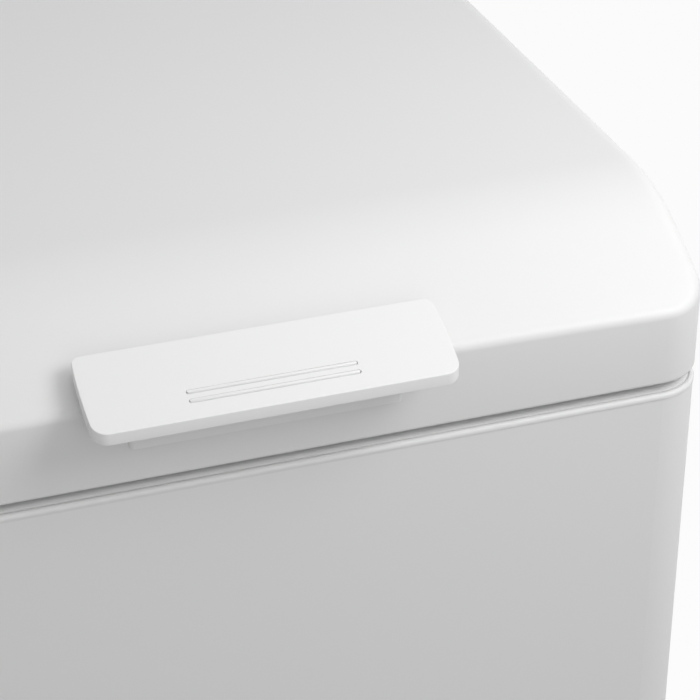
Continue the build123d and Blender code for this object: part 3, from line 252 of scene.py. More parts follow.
slotFinishes = {
    "white_enamel": whiteEnamel, "white_plastic": whitePlastic, "embossed_aluminium": stuccoAluminium,
    "grey_sheet": paintedSheet, "foam": yellowFoam, "copper_tube": copperTube, "steel_tube": blackTube,
    "dark_plastic": darkPlastic, "grey_plastic": greyPlastic, "gasket_grey": gasketVinyl,
    "black_enamel": blackEnamel, "black_rubber": blackRubber, "zinc_steel": zincSteel,
    "spring_steel": springSteel, "green_lens": greenLens, "red_lens": redLens, "coated_wire": coatedWire}

for subpart in frame["record"]["subparts"]:
    mesh = nodes[subpart["node"]].data
    mesh.materials.clear()
    mesh.materials.append(slotFinishes[subpart["material_slot"]])
print("finishes set")

# Camera at the photograph's angle

lidLow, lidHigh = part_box("lid_shell")
viewing = {
    "offset": (-0.3012, -1.0106, 0.6785),  # from the middle of the lid's lower front edge
    "yaw": math.radians(18.99), "pitch": math.radians(30.14), "lens": 120.49, "sensor": 36.0}


def makeCamera():
    data = bpy.data.cameras.new("viewCamera")
    data.sensor_width = viewing["sensor"]
    data.sensor_fit = "HORIZONTAL"
    data.lens = viewing["lens"]
    camera = bpy.data.objects.new("viewCamera", data)
    sceneRoot.collection.objects.link(camera)
    yaw, pitch = viewing["yaw"], viewing["pitch"]
    aim = Vector((math.sin(yaw) * math.cos(pitch), math.cos(yaw) * math.cos(pitch), -math.sin(pitch)))
    camera.location = Vector((0, lidLow.y, lidLow.z)) + Vector(viewing["offset"])
    camera.rotation_euler = aim.to_track_quat("-Z", "Y").to_euler()
    sceneRoot.camera = camera


makeCamera()
print("camera set")

# Floor, world and lamps

stageLook = {
    "floorSize": 14.0, "floorSeen": 0.95, "floorBounce": 0.35, "whiteShare": 0.92, "ambient": 0.51,
    "whiteStrength": 1.0}
lamps = {
    "keyLamp": {"at": (0.75, -0.75, 1.55), "aim": (0.05, -0.15, 0.80), "size": 0.7, "power": 5.9},
    "topLamp": {"at": (0.45, -0.25, 1.50), "aim": (0.05, -0.15, 0.80), "size": 0.6, "power": 0.85},
    "frontLamp": {"at": (0.0, -3.0, 1.6), "aim": (0.05, -0.15, 0.80), "size": 2.5, "power": 11.9},
    "rearLamp": {"at": (-2.0, 2.0, 0.45), "aim": (0.0, 0.1, 0.45), "size": 0.8, "power": 24.0}}


def seenDirectly(tree):
    # 1 for what the camera, a gloss or clear plastic shows, 0 for light that falls on the object
    path = tree.nodes.new("ShaderNodeLightPath")
    total = path.outputs["Is Camera Ray"]
    for other in ("Is Glossy Ray", "Is Transmission Ray"):
        joined = tree.nodes.new("ShaderNodeMath")
        joined.operation = "MAXIMUM"
        tree.links.new(total, joined.inputs[0])
        tree.links.new(path.outputs[other], joined.inputs[1])
        total = joined.outputs[0]
    return total


def makeFloor():
    mesh = bpy.data.meshes.new("studioFloor")
    half = stageLook["floorSize"] / 2
    corners = [(-half, -half, 0), (half, -half, 0), (half, half, 0), (-half, half, 0)]
    mesh.from_pydata(corners, [], [(0, 1, 2, 3)])
    floor = bpy.data.objects.new("studioFloor", mesh)
    sceneRoot.collection.objects.link(floor)
    material = bpy.data.materials.new("paleFloor")
    material.use_nodes = True
    tree = material.node_tree
    tree.nodes.clear()
    output = tree.nodes.new("ShaderNodeOutputMaterial")
    diffuse = tree.nodes.new("ShaderNodeBsdfDiffuse")
    tone = tree.nodes.new("ShaderNodeMapRange")  # seen pale, but throws little light up at the object
    tone.inputs["To Min"].default_value = stageLook["floorBounce"]
    tone.inputs["To Max"].default_value = stageLook["floorSeen"]
    white = tree.nodes.new("ShaderNodeEmission")
    share = tree.nodes.new("ShaderNodeMath")
    share.operation = "MULTIPLY"
    share.inputs[1].default_value = stageLook["whiteShare"]
    mix = tree.nodes.new("ShaderNodeMixShader")
    seen = seenDirectly(tree)
    tree.links.new(seen, tone.inputs["Value"])
    tree.links.new(tone.outputs["Result"], diffuse.inputs["Color"])
    tree.links.new(seen, share.inputs[0])
    tree.links.new(share.outputs[0], mix.inputs["Fac"])
    tree.links.new(diffuse.outputs[0], mix.inputs[1])
    tree.links.new(white.outputs[0], mix.inputs[2])
    tree.links.new(mix.outputs[0], output.inputs["Surface"])
    mesh.materials.append(material)


def makeWorld():
    world = bpy.data.worlds.new("studioWorld")
    sceneRoot.world = world
    world.use_nodes = True
    tree = world.node_tree
    background = tree.nodes["Background"]
    background.inputs["Color"].default_value = (1, 1, 1, 1)
    strength = tree.nodes.new("ShaderNodeMapRange")
    strength.inputs["To Min"].default_value = stageLook["ambient"]
    strength.inputs["To Max"].default_value = stageLook["whiteStrength"]
    tree.links.new(seenDirectly(tree), strength.inputs["Value"])
    tree.links.new(strength.outputs["Result"], background.inputs["Strength"])


def makeLamps():
    for name, lamp in lamps.items():
        data = bpy.data.lights.new(name, "AREA")
        data.shape = "DISK"
        data.size = lamp["size"]
        data.energy = lamp["power"]
        light = bpy.data.objects.new(name, data)
        light.location = lamp["at"]
        aim = Vector(lamp["aim"]) - Vector(lamp["at"])
        light.rotation_euler = aim.to_track_quat("-Z", "Y").to_euler()
        sceneRoot.collection.objects.link(light)


makeFloor()
makeWorld()
makeLamps()
print("stage and lamps set")

# Helpers for pieces made from rings of points

def meshFromRings(name, rings, closeStart=None, closeEnd=None, loop=False):
    # joins rings of equal length into a skin that loops back to its start or is closed by fans to centres
    verts = [point for ring in rings for point in ring]
    count = len(rings[0])
    faces = []
    for row in range(len(rings) if loop else len(rings) - 1):
        here = row * count
        there = (row + 1) % len(rings) * count
        for i in range(count):
            j = (i + 1) % count
            faces.append((here + i, here + j, there + j, there + i))
    if closeStart is not None:
        verts.append(closeStart)
        centre = len(verts) - 1
        faces += [((i + 1) % count, i, centre) for i in range(count)]
    if closeEnd is not None:
        verts.append(closeEnd)
        centre = len(verts) - 1
        last = (len(rings) - 1) * count
        faces += [(last + i, last + (i + 1) % count, centre) for i in range(count)]
    mesh = bpy.data.meshes.new(name)
    mesh.from_pydata([tuple(v) for v in verts], [], faces)
    return smoothMesh(mesh)


def smoothMesh(mesh, sharpAngle=40.0):
    mesh.polygons.foreach_set("use_smooth", [True] * len(mesh.polygons))
    mesh.set_sharp_from_angle(angle=math.radians(sharpAngle))
    mesh.update()
    return mesh


def joinMeshes(name, meshes):
    joined = bmesh.new()
    for mesh in meshes:
        joined.from_mesh(mesh)
        bpy.data.meshes.remove(mesh)
    result = bpy.data.meshes.new(name)
    joined.to_mesh(result)
    joined.free()
    return result


def addPiece(name, mesh, finish, body, replaced=()):
    piece = bpy.data.objects.new(name, mesh)
    sceneRoot.collection.objects.link(piece)
    mesh.materials.clear()
    mesh.materials.append(finish)
    if body:
        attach(piece, body)
    if replaced:
        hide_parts(*replaced)
    return piece


def quarterTurns(steps):
    return [math.pi / 2 * step / steps for step in range(steps + 1)]


def roundedPlan(halfX, halfY, radius, steps):
    # points and outward directions round a rectangle with rounded corners, anticlockwise from above
    points = []
    corners = [(1, -1, -90), (1, 1, 0), (-1, 1, 90), (-1, -1, 180)]
    for index, (sx, sy, startAngle) in enumerate(corners):
        cx, cy = sx * (halfX - radius), sy * (halfY - radius)
        for i in range(steps["corner"] + 1):
            angle = math.radians(startAngle + 90 * i / steps["corner"])
            way = Vector((math.cos(angle), math.sin(angle), 0))
            points.append((Vector((cx, cy, 0)) + way * radius, way))
        nx, ny, _ = corners[(index + 1) % len(corners)]
        endAngle = math.radians(startAngle + 90)
        way = Vector((math.cos(endAngle), math.sin(endAngle), 0))
        begin = Vector((cx, cy, 0)) + way * radius
        finish = Vector((nx * (halfX - radius), ny * (halfY - radius), 0)) + way * radius
        span = steps["side"] if index % 2 == 0 else steps["front"]
        for i in range(1, span):
            points.append((begin.lerp(finish, i / span), way))
    return points


# Lid: flat crown, bend and sloping front, with the edge rolled over a ball all round

lidLook = {
    "cornerRadius": 0.030, "edgeRadius": 0.011, "frontRadius": 0.007, "crownSetback": 0.110,
    "bendRadius": 0.130, "slope": math.radians(24.4), "frontDrop": 0.0030, "cornerDrop": 0.0036,
    "sheet": 0.0014, "hem": 0.0024, "returnInset": 0.0030, "returnHeight": 0.012,
    "steps": {"corner": 16, "side": 100, "front": 60}, "hemSteps": 7, "edgeSteps": 10, "crownRings": 64,
    "meetRounds": 5}


def crownHeight(x, y):
    # the crown's profile from front to back, with a front edge that falls a little towards the corners
    look = lidLook
    centreY = lidLow.y + look["crownSetback"]
    if y >= centreY:
        return lidHigh.z
    radius, slope = look["bendRadius"], look["slope"]
    bendY = centreY - radius * math.sin(slope)
    share = (centreY - y) / look["crownSetback"]
    drop = share ** 2 * (look["frontDrop"] + look["cornerDrop"] * (x / lidHigh.x) ** 2)
    rise = math.sqrt(radius ** 2 - (max(y, bendY) - centreY) ** 2)
    return lidHigh.z - radius + rise - max(bendY - y, 0.0) * math.tan(slope) - drop


def crownUp(x, y, step=0.0002):
    alongX = crownHeight(x + step, y) - crownHeight(x - step, y)
    alongY = crownHeight(x, y + step) - crownHeight(x, y - step)
    return Vector((-alongX, -alongY, 2 * step)).normalized()


def edgeBall(point, way):
    # the ball that rolls between the lid's wall and its crown: centre, radius and the way to the crown
    radius = lidLook["edgeRadius"] + (lidLook["frontRadius"] - lidLook["edgeRadius"]) * max(0.0, -way.y)
    centre = point - way * radius
    up = Vector((0, 0, 1))
    for _ in range(lidLook["meetRounds"]):
        meet = centre + up * radius
        up = crownUp(meet.x, meet.y)
    centre.z = crownHeight(meet.x, meet.y) - up.z * radius
    return centre, radius, up


def crownRings(plan, middleY, gap):
    # rings over the edge and the crown to its middle, a gap under the lid's outer face
    rings = []
    balls = [(*edgeBall(point, way), way) for point, way in plan]
    for step in range(lidLook["edgeSteps"] + 1):
        t = step / lidLook["edgeSteps"]
        ring = []
        for centre, radius, up, way in balls:
            angle = way.angle(up)
            turn = (way * math.sin((1 - t) * angle) + up * math.sin(t * angle)) / math.sin(angle)
            ring.append(centre + turn * (radius - gap))
        rings.append(ring)
    rim = rings[-1]
    for step in range(1, lidLook["crownRings"]):
        share = 1 - step / lidLook["crownRings"]
        ring = []
        for point in rim:
            x = point.x * share
            y = middleY + (point.y - middleY) * share
            ring.append(Vector((x, y, crownHeight(x, y) - gap)))
        rings.append(ring)
    return rings


def crownMiddle(middleY, gap):
    return Vector((0, middleY, crownHeight(0, middleY) - gap))


def makeLidSkin(plan, middleY):
    look = lidLook
    bottom, returnTop = lidLow.z, lidLow.z + look["returnHeight"]
    sheet, hem, returnInset = look["sheet"], look["hem"], look["returnInset"]
    profile = [(sheet, returnTop), (returnInset, returnTop), (returnInset, bottom)]
    for turn in quarterTurns(look["hemSteps"]):
        profile.append((hem * (1 - math.sin(turn)), bottom + hem * (1 - math.cos(turn))))
    rings = crownRings(plan, middleY, sheet)[::-1]  # the sheet's inner face, down to the hem
    for inset, z in profile:
        rings.append([point - way * inset + Vector((0, 0, z)) for point, way in plan])
    rings += crownRings(plan, middleY, 0.0)
    mesh = meshFromRings("lidSkin", rings, crownMiddle(middleY, sheet), crownMiddle(middleY, 0.0))
    addPiece("lidSkin", mesh, whiteEnamel, "lid", ["lid_shell"])


def makeLidFoam(plan, middleY):
    gap = lidHigh.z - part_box("lid_insulation")[1].z
    bottom = Vector((0, middleY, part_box("lid_liner")[1].z))
    rings = [[point - way * gap + Vector((0, 0, bottom.z)) for point, way in plan]]
    rings += crownRings(plan, middleY, gap)
    mesh = meshFromRings("lidFoam", rings, bottom, crownMiddle(middleY, gap))
    addPiece("lidFoam", mesh, yellowFoam, "lid", ["lid_insulation"])


def makeLid():
    middleY = (lidLow.y + lidHigh.y) / 2
    halfY = (lidHigh.y - lidLow.y) / 2
    plan = roundedPlan(lidHigh.x, halfY, lidLook["cornerRadius"], lidLook["steps"])
    plan = [(point + Vector((0, middleY, 0)), way) for point, way in plan]
    makeLidSkin(plan, middleY)
    makeLidFoam(plan, middleY)


makeLid()
print("lid made")

# Handle plate with two fine ribs

plateLook = {
    "width": 0.198, "depth": 0.0528, "thickness": 0.0069, "tilt": math.radians(20.75), "reach": 0.0293,
    "rise": 0.0511, "frontCorner": 0.008, "rearCorner": 0.0045, "bow": 0.001, "edge": 0.0004,
    "ribLength": 0.092, "ribWidth": 0.0015, "ribHeight": 0.0002, "ribSetbacks": (0.0118, 0.0178),
    "slotGap": 0.0007, "slotDepth": 0.0018, "ribShift": 0.0003,  # each bar stands a little back in its slot
    "cornerSteps": 8, "sideSteps": 10, "edgeSteps": 6, "ribSteps": 8}


def platePoint(u, v, lift):
    # from the plate's own width and depth, and a height straight up, to the frame
    tilt = plateLook["tilt"]
    y = lidLow.y - plateLook["reach"] + v * math.cos(tilt)
    z = lidLow.z + plateLook["rise"] + v * math.sin(tilt) + lift
    return Vector((u, y, z))


def plateOutline():
    # points round the plate and their outward ways, with ends that bow out a little
    look = plateLook
    half, depth = look["width"] / 2, look["depth"]
    front, rear = look["frontCorner"], look["rearCorner"]
    low, high = front, depth - rear
    corners = [(1, low, front, -90), (1, high, rear, 0), (-1, high, rear, 90), (-1, low, front, 180)]
    outline = []
    for side, centreV, radius, startAngle in corners:
        for turn in quarterTurns(look["cornerSteps"]):
            du, dv = math.cos(math.radians(startAngle) + turn), math.sin(math.radians(startAngle) + turn)
            outline.append((side * (half - radius) + radius * du, centreV + radius * dv, du, dv))
        if startAngle in (-90, 90):
            begin, finish = (low, high) if side > 0 else (high, low)
            for step in range(1, look["sideSteps"]):
                outline.append((side * half, begin + (finish - begin) * step / look["sideSteps"], side, 0.0))
    bowed = []
    for u, v, du, dv in outline:
        swell = look["bow"] * (1 - (2 * v / depth - 1) ** 2)
        bowed.append((u + math.copysign(swell, u), v, du, dv))
    return bowed


def makePlate():
    look = plateLook
    edge, thick = look["edge"], look["thickness"]
    turns = quarterTurns(look["edgeSteps"])
    profile = [(2 * edge, -thick)]  # a ring on the flat keeps the face's shading plain
    profile += [(edge * (1 - math.sin(turn)), -thick + edge * (1 - math.cos(turn))) for turn in turns]
    profile += [(edge * (1 - math.cos(turn)), -edge + edge * math.sin(turn)) for turn in turns]
    profile += [(2 * edge, 0.0)]
    outline = plateOutline()
    rings = []
    for inset, lift in profile:
        rings.append([platePoint(u - du * inset, v - dv * inset, lift) for u, v, du, dv in outline])
    underside = platePoint(0, look["depth"] / 2, -thick)
    return meshFromRings("handlePlate", rings, underside)  # its top is closed round the slots


def makeRib(setback):
    # a slim bar that stands in a slot of its own
    look = plateLook
    radius, length = look["ribWidth"] / 2, look["ribLength"]
    outline = []
    for end in (1, -1):
        for step in range(look["ribSteps"] + 1):
            angle = math.pi * step / look["ribSteps"] - end * math.pi / 2
            outline.append((end * (length / 2 - radius), math.cos(angle), math.sin(angle)))
    slot, floor, height = radius + look["slotGap"], -look["slotDepth"], look["ribHeight"]
    middle = setback + look["ribShift"]
    profile = [(slot, 0.0, setback), (slot, floor, setback), (radius, floor, middle)]
    profile += [(radius, height / 2, middle), (radius - height / 2, height, middle)]
    rings = []
    for reach, lift, v in profile:
        rings.append([platePoint(u + du * reach, v + dv * reach, lift) for u, du, dv in outline])
    return meshFromRings("plateRib", rings, closeEnd=platePoint(0, middle, height))


def closeTop(mesh):
    # fills the face between the plate's rim and the slots
    shell = bmesh.new()
    shell.from_mesh(mesh)
    rims = [edge for edge in shell.edges if edge.is_boundary]
    tilt = plateLook["tilt"]
    bmesh.ops.triangle_fill(shell, use_beauty=True, edges=rims, normal=(0, -math.sin(tilt), math.cos(tilt)))
    shell.to_mesh(mesh)
    shell.free()
    return smoothMesh(mesh)


ribs = [makeRib(setback) for setback in plateLook["ribSetbacks"]]
handleMesh = closeTop(joinMeshes("handlePlate", [makePlate(), *ribs]))
addPiece("handlePlate", handleMesh, platePlastic, "lid", ["handle_plate"])

# Handle base, from the lid's front up to the plate's underside

baseLook = {"width": 0.1505, "rounding": 0.003, "tuck": 0.0005, "roundSteps": 6}


def makeBase():
    look = baseLook
    low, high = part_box("handle_base")
    half, rounding = look["width"] / 2, look["rounding"]
    outline = []
    for side, startAngle in ((-1, math.pi), (1, 1.5 * math.pi)):
        for turn in quarterTurns(look["roundSteps"]):
            x = side * (half - rounding) + rounding * math.cos(startAngle + turn)
            outline.append((x, low.y + rounding * (1 + math.sin(startAngle + turn))))
    outline += [(half, high.y), (-half, high.y)]
    underside = lidLow.z + plateLook["rise"] - plateLook["thickness"] + look["tuck"]

    def topPoint(x, y):
        return Vector((x, y, underside + (y - lidLow.y + plateLook["reach"]) * math.tan(plateLook["tilt"])))

    rings = [[Vector((x, y, low.z)) for x, y in outline], [topPoint(x, y) for x, y in outline]]
    middleY = (low.y + high.y) / 2
    mesh = meshFromRings("handleBase", rings, Vector((0, middleY, low.z)), topPoint(0, middleY))
    addPiece("handleBase", mesh, platePlastic, "lid", ["handle_base"])


makeBase()
print("handle made")

# Collar on the cabinet's top, with the bead and groove that show in the seam

collarLow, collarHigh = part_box("top_frame")
collarLook = {
    "thickness": 0.003, "underside": 0.0006, "flatInset": 0.026,
    "beadProud": 0.0004, "beadHeight": 0.0036, "beadRounding": 0.0024,
    "grooveInset": 0.0024, "grooveWidth": 0.0008, "grooveDepth": 0.0007, "grooveEdge": 0.00015,
    "ledge": ((0.0064, 0.0014), (0.0112, 0.0014), (0.0122, 0.0)),  # inset and rise of its points
    "mouthMargin": 0.057, "mouthRadius": 0.012, "mouthEdge": 0.0025, "lipThickness": 0.002,
    "steps": {"corner": 16, "side": 60, "front": 60}, "roundSteps": 6}


def collarRim(top, turns):
    # insets and heights of the outer part: bead, groove, ledge and flat
    look = collarLook
    proud, rounding, edge = look["beadProud"], look["beadRounding"], look["grooveEdge"]
    beadLow, wrapTop = top - look["beadHeight"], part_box("cabinet_wrap")[1].z
    profile = [(look["underside"], wrapTop), (0.0, wrapTop), (0.0, beadLow), (-proud, beadLow + proud)]
    for turn in turns:
        profile.append((rounding * (1 - math.cos(turn)) - proud, top - rounding * (1 - math.sin(turn))))
    near, far = look["grooveInset"], look["grooveInset"] + look["grooveWidth"]
    floor = top - look["grooveDepth"]
    profile += [(near - edge, top), (near, top - edge), (near, floor)]
    profile += [(far, floor), (far, top - edge), (far + edge, top)]
    profile += [(inset, top + rise) for inset, rise in look["ledge"]]
    return profile + [(look["flatInset"], top)]


def collarMouth(top, turns):
    # insets and heights of the inner part: the mouth's rounded edge, the lip over the liner and the underside
    look = collarLook
    margin, edge, lip = look["mouthMargin"], look["mouthEdge"], look["lipThickness"]
    under = top - look["thickness"]
    profile = [(margin + edge * (math.sin(turn) - 1), top - edge * (1 - math.cos(turn))) for turn in turns]
    profile += [(margin, collarLow.z), (margin - lip, collarLow.z), (margin - lip, under)]
    return profile + [(look["underside"], under)]


def makeCollar():
    look = collarLook
    top, turns = collarHigh.z, quarterTurns(look["roundSteps"])
    halfX, halfY = lidHigh.x, (lidHigh.y - lidLow.y) / 2
    outerRadius = lidLook["cornerRadius"]
    mouthRadius = look["mouthRadius"] + look["mouthMargin"]
    rows = [(inset, z, outerRadius - inset) for inset, z in collarRim(top, turns)]
    rows += [(inset, z, min(mouthRadius - inset, outerRadius)) for inset, z in collarMouth(top, turns)]
    rings = []
    for inset, z, radius in rows:
        plan = roundedPlan(halfX - inset, halfY - inset, radius, look["steps"])
        rings.append([point + Vector((0, 0, z)) for point, way in plan])
    mesh = meshFromRings("collarTrim", rings, loop=True)
    addPiece("collarTrim", mesh, collarPlastic, "cabinet", ["top_frame"])


makeCollar()
print("collar made")

# Geometry Nodes trees: round wire along a line, repeated in a row, and copies set on points

def newTree(name, inputs):
    tree = bpy.data.node_groups.new(name, "GeometryNodeTree")
    tree.interface.new_socket(name="Geometry", in_out="INPUT", socket_type="NodeSocketGeometry")
    identifiers = {}
    for socketName, kind in inputs:
        identifiers[socketName] = tree.interface.new_socket(
            name=socketName, in_out="INPUT", socket_type=kind).identifier
    tree.interface.new_socket(name="Geometry", in_out="OUTPUT", socket_type="NodeSocketGeometry")
    return tree, tree.nodes.new("NodeGroupInput"), tree.nodes.new("NodeGroupOutput"), identifiers


def endTree(tree, start, end, instances):
    realize = tree.nodes.new("GeometryNodeRealizeInstances")
    paint = tree.nodes.new("GeometryNodeSetMaterial")
    tree.links.new(instances, realize.inputs["Geometry"])
    tree.links.new(realize.outputs["Geometry"], paint.inputs["Geometry"])
    tree.links.new(start.outputs["Material"], paint.inputs["Material"])
    tree.links.new(paint.outputs["Geometry"], end.inputs["Geometry"])


def makeWireTree(name, bendSteps):
    # sweeps round wire along the given line, bends its corners and repeats it Count times, Step apart
    tree, start, end, identifiers = newTree(name, [
        ("Radius", "NodeSocketFloat"), ("Sides", "NodeSocketInt"), ("Bend", "NodeSocketFloat"),
        ("Count", "NodeSocketInt"), ("Step", "NodeSocketVector"), ("Material", "NodeSocketMaterial")])
    line = tree.nodes.new("GeometryNodeMeshToCurve")
    tree.links.new(start.outputs["Geometry"], line.inputs["Mesh"])
    curve = line.outputs["Curve"]
    if bendSteps:
        fillet = tree.nodes.new("GeometryNodeFilletCurve")
        fillet.mode = "POLY"
        fillet.inputs["Count"].default_value = bendSteps
        tree.links.new(curve, fillet.inputs["Curve"])
        tree.links.new(start.outputs["Bend"], fillet.inputs["Radius"])
        curve = fillet.outputs["Curve"]
    circle = tree.nodes.new("GeometryNodeCurvePrimitiveCircle")
    tree.links.new(start.outputs["Radius"], circle.inputs["Radius"])
    tree.links.new(start.outputs["Sides"], circle.inputs["Resolution"])
    sweep = tree.nodes.new("GeometryNodeCurveToMesh")
    sweep.inputs["Fill Caps"].default_value = True
    tree.links.new(curve, sweep.inputs["Curve"])
    tree.links.new(circle.outputs["Curve"], sweep.inputs["Profile Curve"])
    row = tree.nodes.new("GeometryNodeMeshLine")
    tree.links.new(start.outputs["Count"], row.inputs["Count"])
    tree.links.new(start.outputs["Step"], row.inputs["Offset"])
    place = tree.nodes.new("GeometryNodeInstanceOnPoints")
    tree.links.new(row.outputs["Mesh"], place.inputs["Points"])
    tree.links.new(sweep.outputs["Mesh"], place.inputs["Instance"])
    endTree(tree, start, end, place.outputs["Instances"])
    return tree, identifiers


def makeCopyTree():
    # sets a copy of the master on every point, its top along "facing", turned about it by "turn"
    tree, start, end, identifiers = newTree("copiesOnPoints", [
        ("Master", "NodeSocketObject"), ("Material", "NodeSocketMaterial")])
    master = tree.nodes.new("GeometryNodeObjectInfo")
    tree.links.new(start.outputs["Master"], master.inputs["Object"])
    facing = tree.nodes.new("GeometryNodeInputNamedAttribute")
    facing.data_type = "FLOAT_VECTOR"
    facing.inputs["Name"].default_value = "facing"
    turn = tree.nodes.new("GeometryNodeInputNamedAttribute")
    turn.data_type = "FLOAT"
    turn.inputs["Name"].default_value = "turn"
    align = tree.nodes.new("FunctionNodeAlignRotationToVector")
    align.axis = "Z"
    tree.links.new(facing.outputs["Attribute"], align.inputs["Vector"])
    spin = tree.nodes.new("FunctionNodeAxisAngleToRotation")
    spin.inputs["Axis"].default_value = (0, 0, 1)
    tree.links.new(turn.outputs["Attribute"], spin.inputs["Angle"])
    rotate = tree.nodes.new("FunctionNodeRotateRotation")
    rotate.rotation_space = "LOCAL"
    tree.links.new(align.outputs["Rotation"], rotate.inputs["Rotation"])
    tree.links.new(spin.outputs["Rotation"], rotate.inputs["Rotate By"])
    place = tree.nodes.new("GeometryNodeInstanceOnPoints")
    tree.links.new(start.outputs["Geometry"], place.inputs["Points"])
    tree.links.new(master.outputs["Geometry"], place.inputs["Instance"])
    tree.links.new(rotate.outputs["Rotation"], place.inputs["Rotation"])
    endTree(tree, start, end, place.outputs["Instances"])
    return tree, identifiers


bentWire = makeWireTree("bentWire", bendSteps=7)
coiledWire = makeWireTree("coiledWire", bendSteps=0)
copiesOnPoints = makeCopyTree()


def runTree(name, mesh, made, values):
    # evaluates a tree on a mesh and keeps the result as a plain mesh
    tree, identifiers = made
    holder = bpy.data.objects.new(name, mesh)
    sceneRoot.collection.objects.link(holder)
    modifier = holder.modifiers.new(name, "NODES")
    modifier.node_group = tree
    for socketName, value in values.items():
        modifier[identifiers[socketName]] = value
    evaluated = holder.evaluated_get(bpy.context.evaluated_depsgraph_get())
    result = bpy.data.meshes.new_from_object(evaluated)
    holder.modifiers.remove(modifier)
    bpy.data.objects.remove(holder)
    bpy.data.meshes.remove(mesh)
    return smoothMesh(result)


def lineMesh(name, points, closed=False):
    edges = [(i, i + 1) for i in range(len(points) - 1)]
    if closed:
        edges.append((len(points) - 1, 0))
    mesh = bpy.data.meshes.new(name)
    mesh.from_pydata([tuple(point) for point in points], edges, [])
    return mesh


# Wire basket: U-shaped wires both ways, hoops round the walls, a stout rim and four hooks

basketLook = {
    "wire": 0.00125, "rim": 0.0024, "sides": 12, "mesh": 0.040, "floorBend": 0.012, "hoopBend": 0.012,
    "rimBend": 0.010, "hookBend": 0.004, "hookSpacing": 0.130, "hoops": 4}


def wireRow(name, points, radius, bend, count=1, step=(0, 0, 0), closed=False):
    return runTree(name, lineMesh(name, points, closed), bentWire, {
        "Radius": radius, "Sides": basketLook["sides"], "Bend": bend, "Count": count, "Step": step,
        "Material": coatedWire})


def hoopPoints(left, right, front, back, z):
    return [(left, front, z), (right, front, z), (right, back, z), (left, back, z)]


def makeBasketNet():
    look = basketLook
    netLow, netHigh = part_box("basket_sides")
    floorLow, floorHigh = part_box("basket_floor")
    wire, bend = look["wire"], look["floorBend"]
    left, right = netLow.x + wire, netHigh.x - wire
    front, back = floorLow.y + wire, floorHigh.y - wire
    bottom, top = floorLow.z + wire, netHigh.z - look["rim"]
    columns = round((floorHigh.x - floorLow.x) / look["mesh"])
    rows = round((floorHigh.y - floorLow.y) / look["mesh"])
    stepX, stepY = (right - left) / columns, (back - front) / rows
    hoopStep = (top - bottom) / (look["hoops"] + 1)
    inset = 2 * wire  # the wires across lie on those along, and the hoops stand inside both
    x, y = left + stepX / 2, front + stepY / 2
    along = [(x, front, top), (x, front, bottom), (x, back, bottom), (x, back, top)]
    across = [(left, y, top), (left, y, bottom + inset), (right, y, bottom + inset), (right, y, top)]
    hoop = hoopPoints(left + inset, right - inset, front + inset, back - inset, bottom + hoopStep)
    net = joinMeshes("basketWires", [
        wireRow("alongWires", along, wire, bend, columns, (stepX, 0, 0)),
        wireRow("acrossWires", across, wire, bend, rows, (0, stepY, 0)),
        wireRow("hoopWires", hoop, wire, look["hoopBend"], look["hoops"], (0, 0, hoopStep), closed=True)])
    replaced = ["basket_floor", "basket_ends", "basket_sides"]
    addPiece("basketWires", net, coatedWire, "basket", replaced)


def makeBasketRim():
    look = basketLook
    netLow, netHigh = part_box("basket_sides")
    floorLow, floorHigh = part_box("basket_floor")
    rimLow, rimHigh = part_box("basket_rim")
    rim, spacing = look["rim"], look["hookSpacing"]
    rimZ, hookZ = netHigh.z - rim, rimHigh.z - rim
    front, back = floorLow.y - rim, floorHigh.y + rim
    loop = hoopPoints(rimLow.x + rim, rimHigh.x - rim, front, back, rimZ)
    pieces = [wireRow("rimWires", loop, rim, look["rimBend"], closed=True)]
    x = (netLow.x + netHigh.x - spacing) / 2
    for start, tip in ((front, rimLow.y), (back, rimHigh.y)):
        hook = [(x, start, rimZ), (x, start, hookZ), (x, tip, hookZ)]
        pieces.append(wireRow("hookWires", hook, rim, look["hookBend"], 2, (spacing, 0, 0)))
    mesh = joinMeshes("basketRim", pieces)
    addPiece("basketRim", mesh, coatedWire, "basket", ["basket_rim"])


makeBasketNet()
makeBasketRim()
print("basket made")

# Hinge springs: close turns at both ends, open between

springLook = {"wire": 0.0013, "turns": 12, "endGap": 0.0006, "perTurn": 32, "sides": 14}


def makeSpring(side):
    look = springLook
    node = "hinge_spring_" + side
    low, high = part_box(node)
    wire, perTurn, turns = look["wire"], look["perTurn"], look["turns"]
    radius = (high.x - low.x) / 2 - wire
    middleX, middleY = (low.x + high.x) / 2, (low.y + high.y) / 2
    endRise = (2 * wire + look["endGap"]) / perTurn
    openRise = (high.z - low.z - 2 * wire - 2 * endRise * perTurn) / ((turns - 2) * perTurn)
    z = low.z + wire
    points = []
    for i in range(turns * perTurn + 1):
        turn = 2 * math.pi * i / perTurn
        points.append((middleX + radius * math.cos(turn), middleY + radius * math.sin(turn), z))
        z += endRise if i < perTurn or i >= (turns - 1) * perTurn else openRise
    name = side + "Spring"
    mesh = runTree(name, lineMesh(name, points), coiledWire, {
        "Radius": wire, "Sides": look["sides"], "Count": 1, "Step": (0, 0, 0), "Material": springSteel})
    spring = addPiece(name, mesh, springSteel, None, [node])
    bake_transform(spring)


for side in ("left", "right"):
    makeSpring(side)
print("springs made")

# Pan-head screws with a cross recess

screwLook = {
    "radius": 0.004, "height": 0.0022, "rounding": 0.0011, "crown": 0.0003, "landRadius": 0.002185,
    "armLength": 0.0019, "armWidth": 0.0009, "recess": 0.0012, "recessTip": 0.00132, "taper": 0.7,
    "roundSteps": 5, "turnStep": 2.4, "bracketSpacing": 0.042, "leafSpacing": 0.030, "rowDigits": 5}


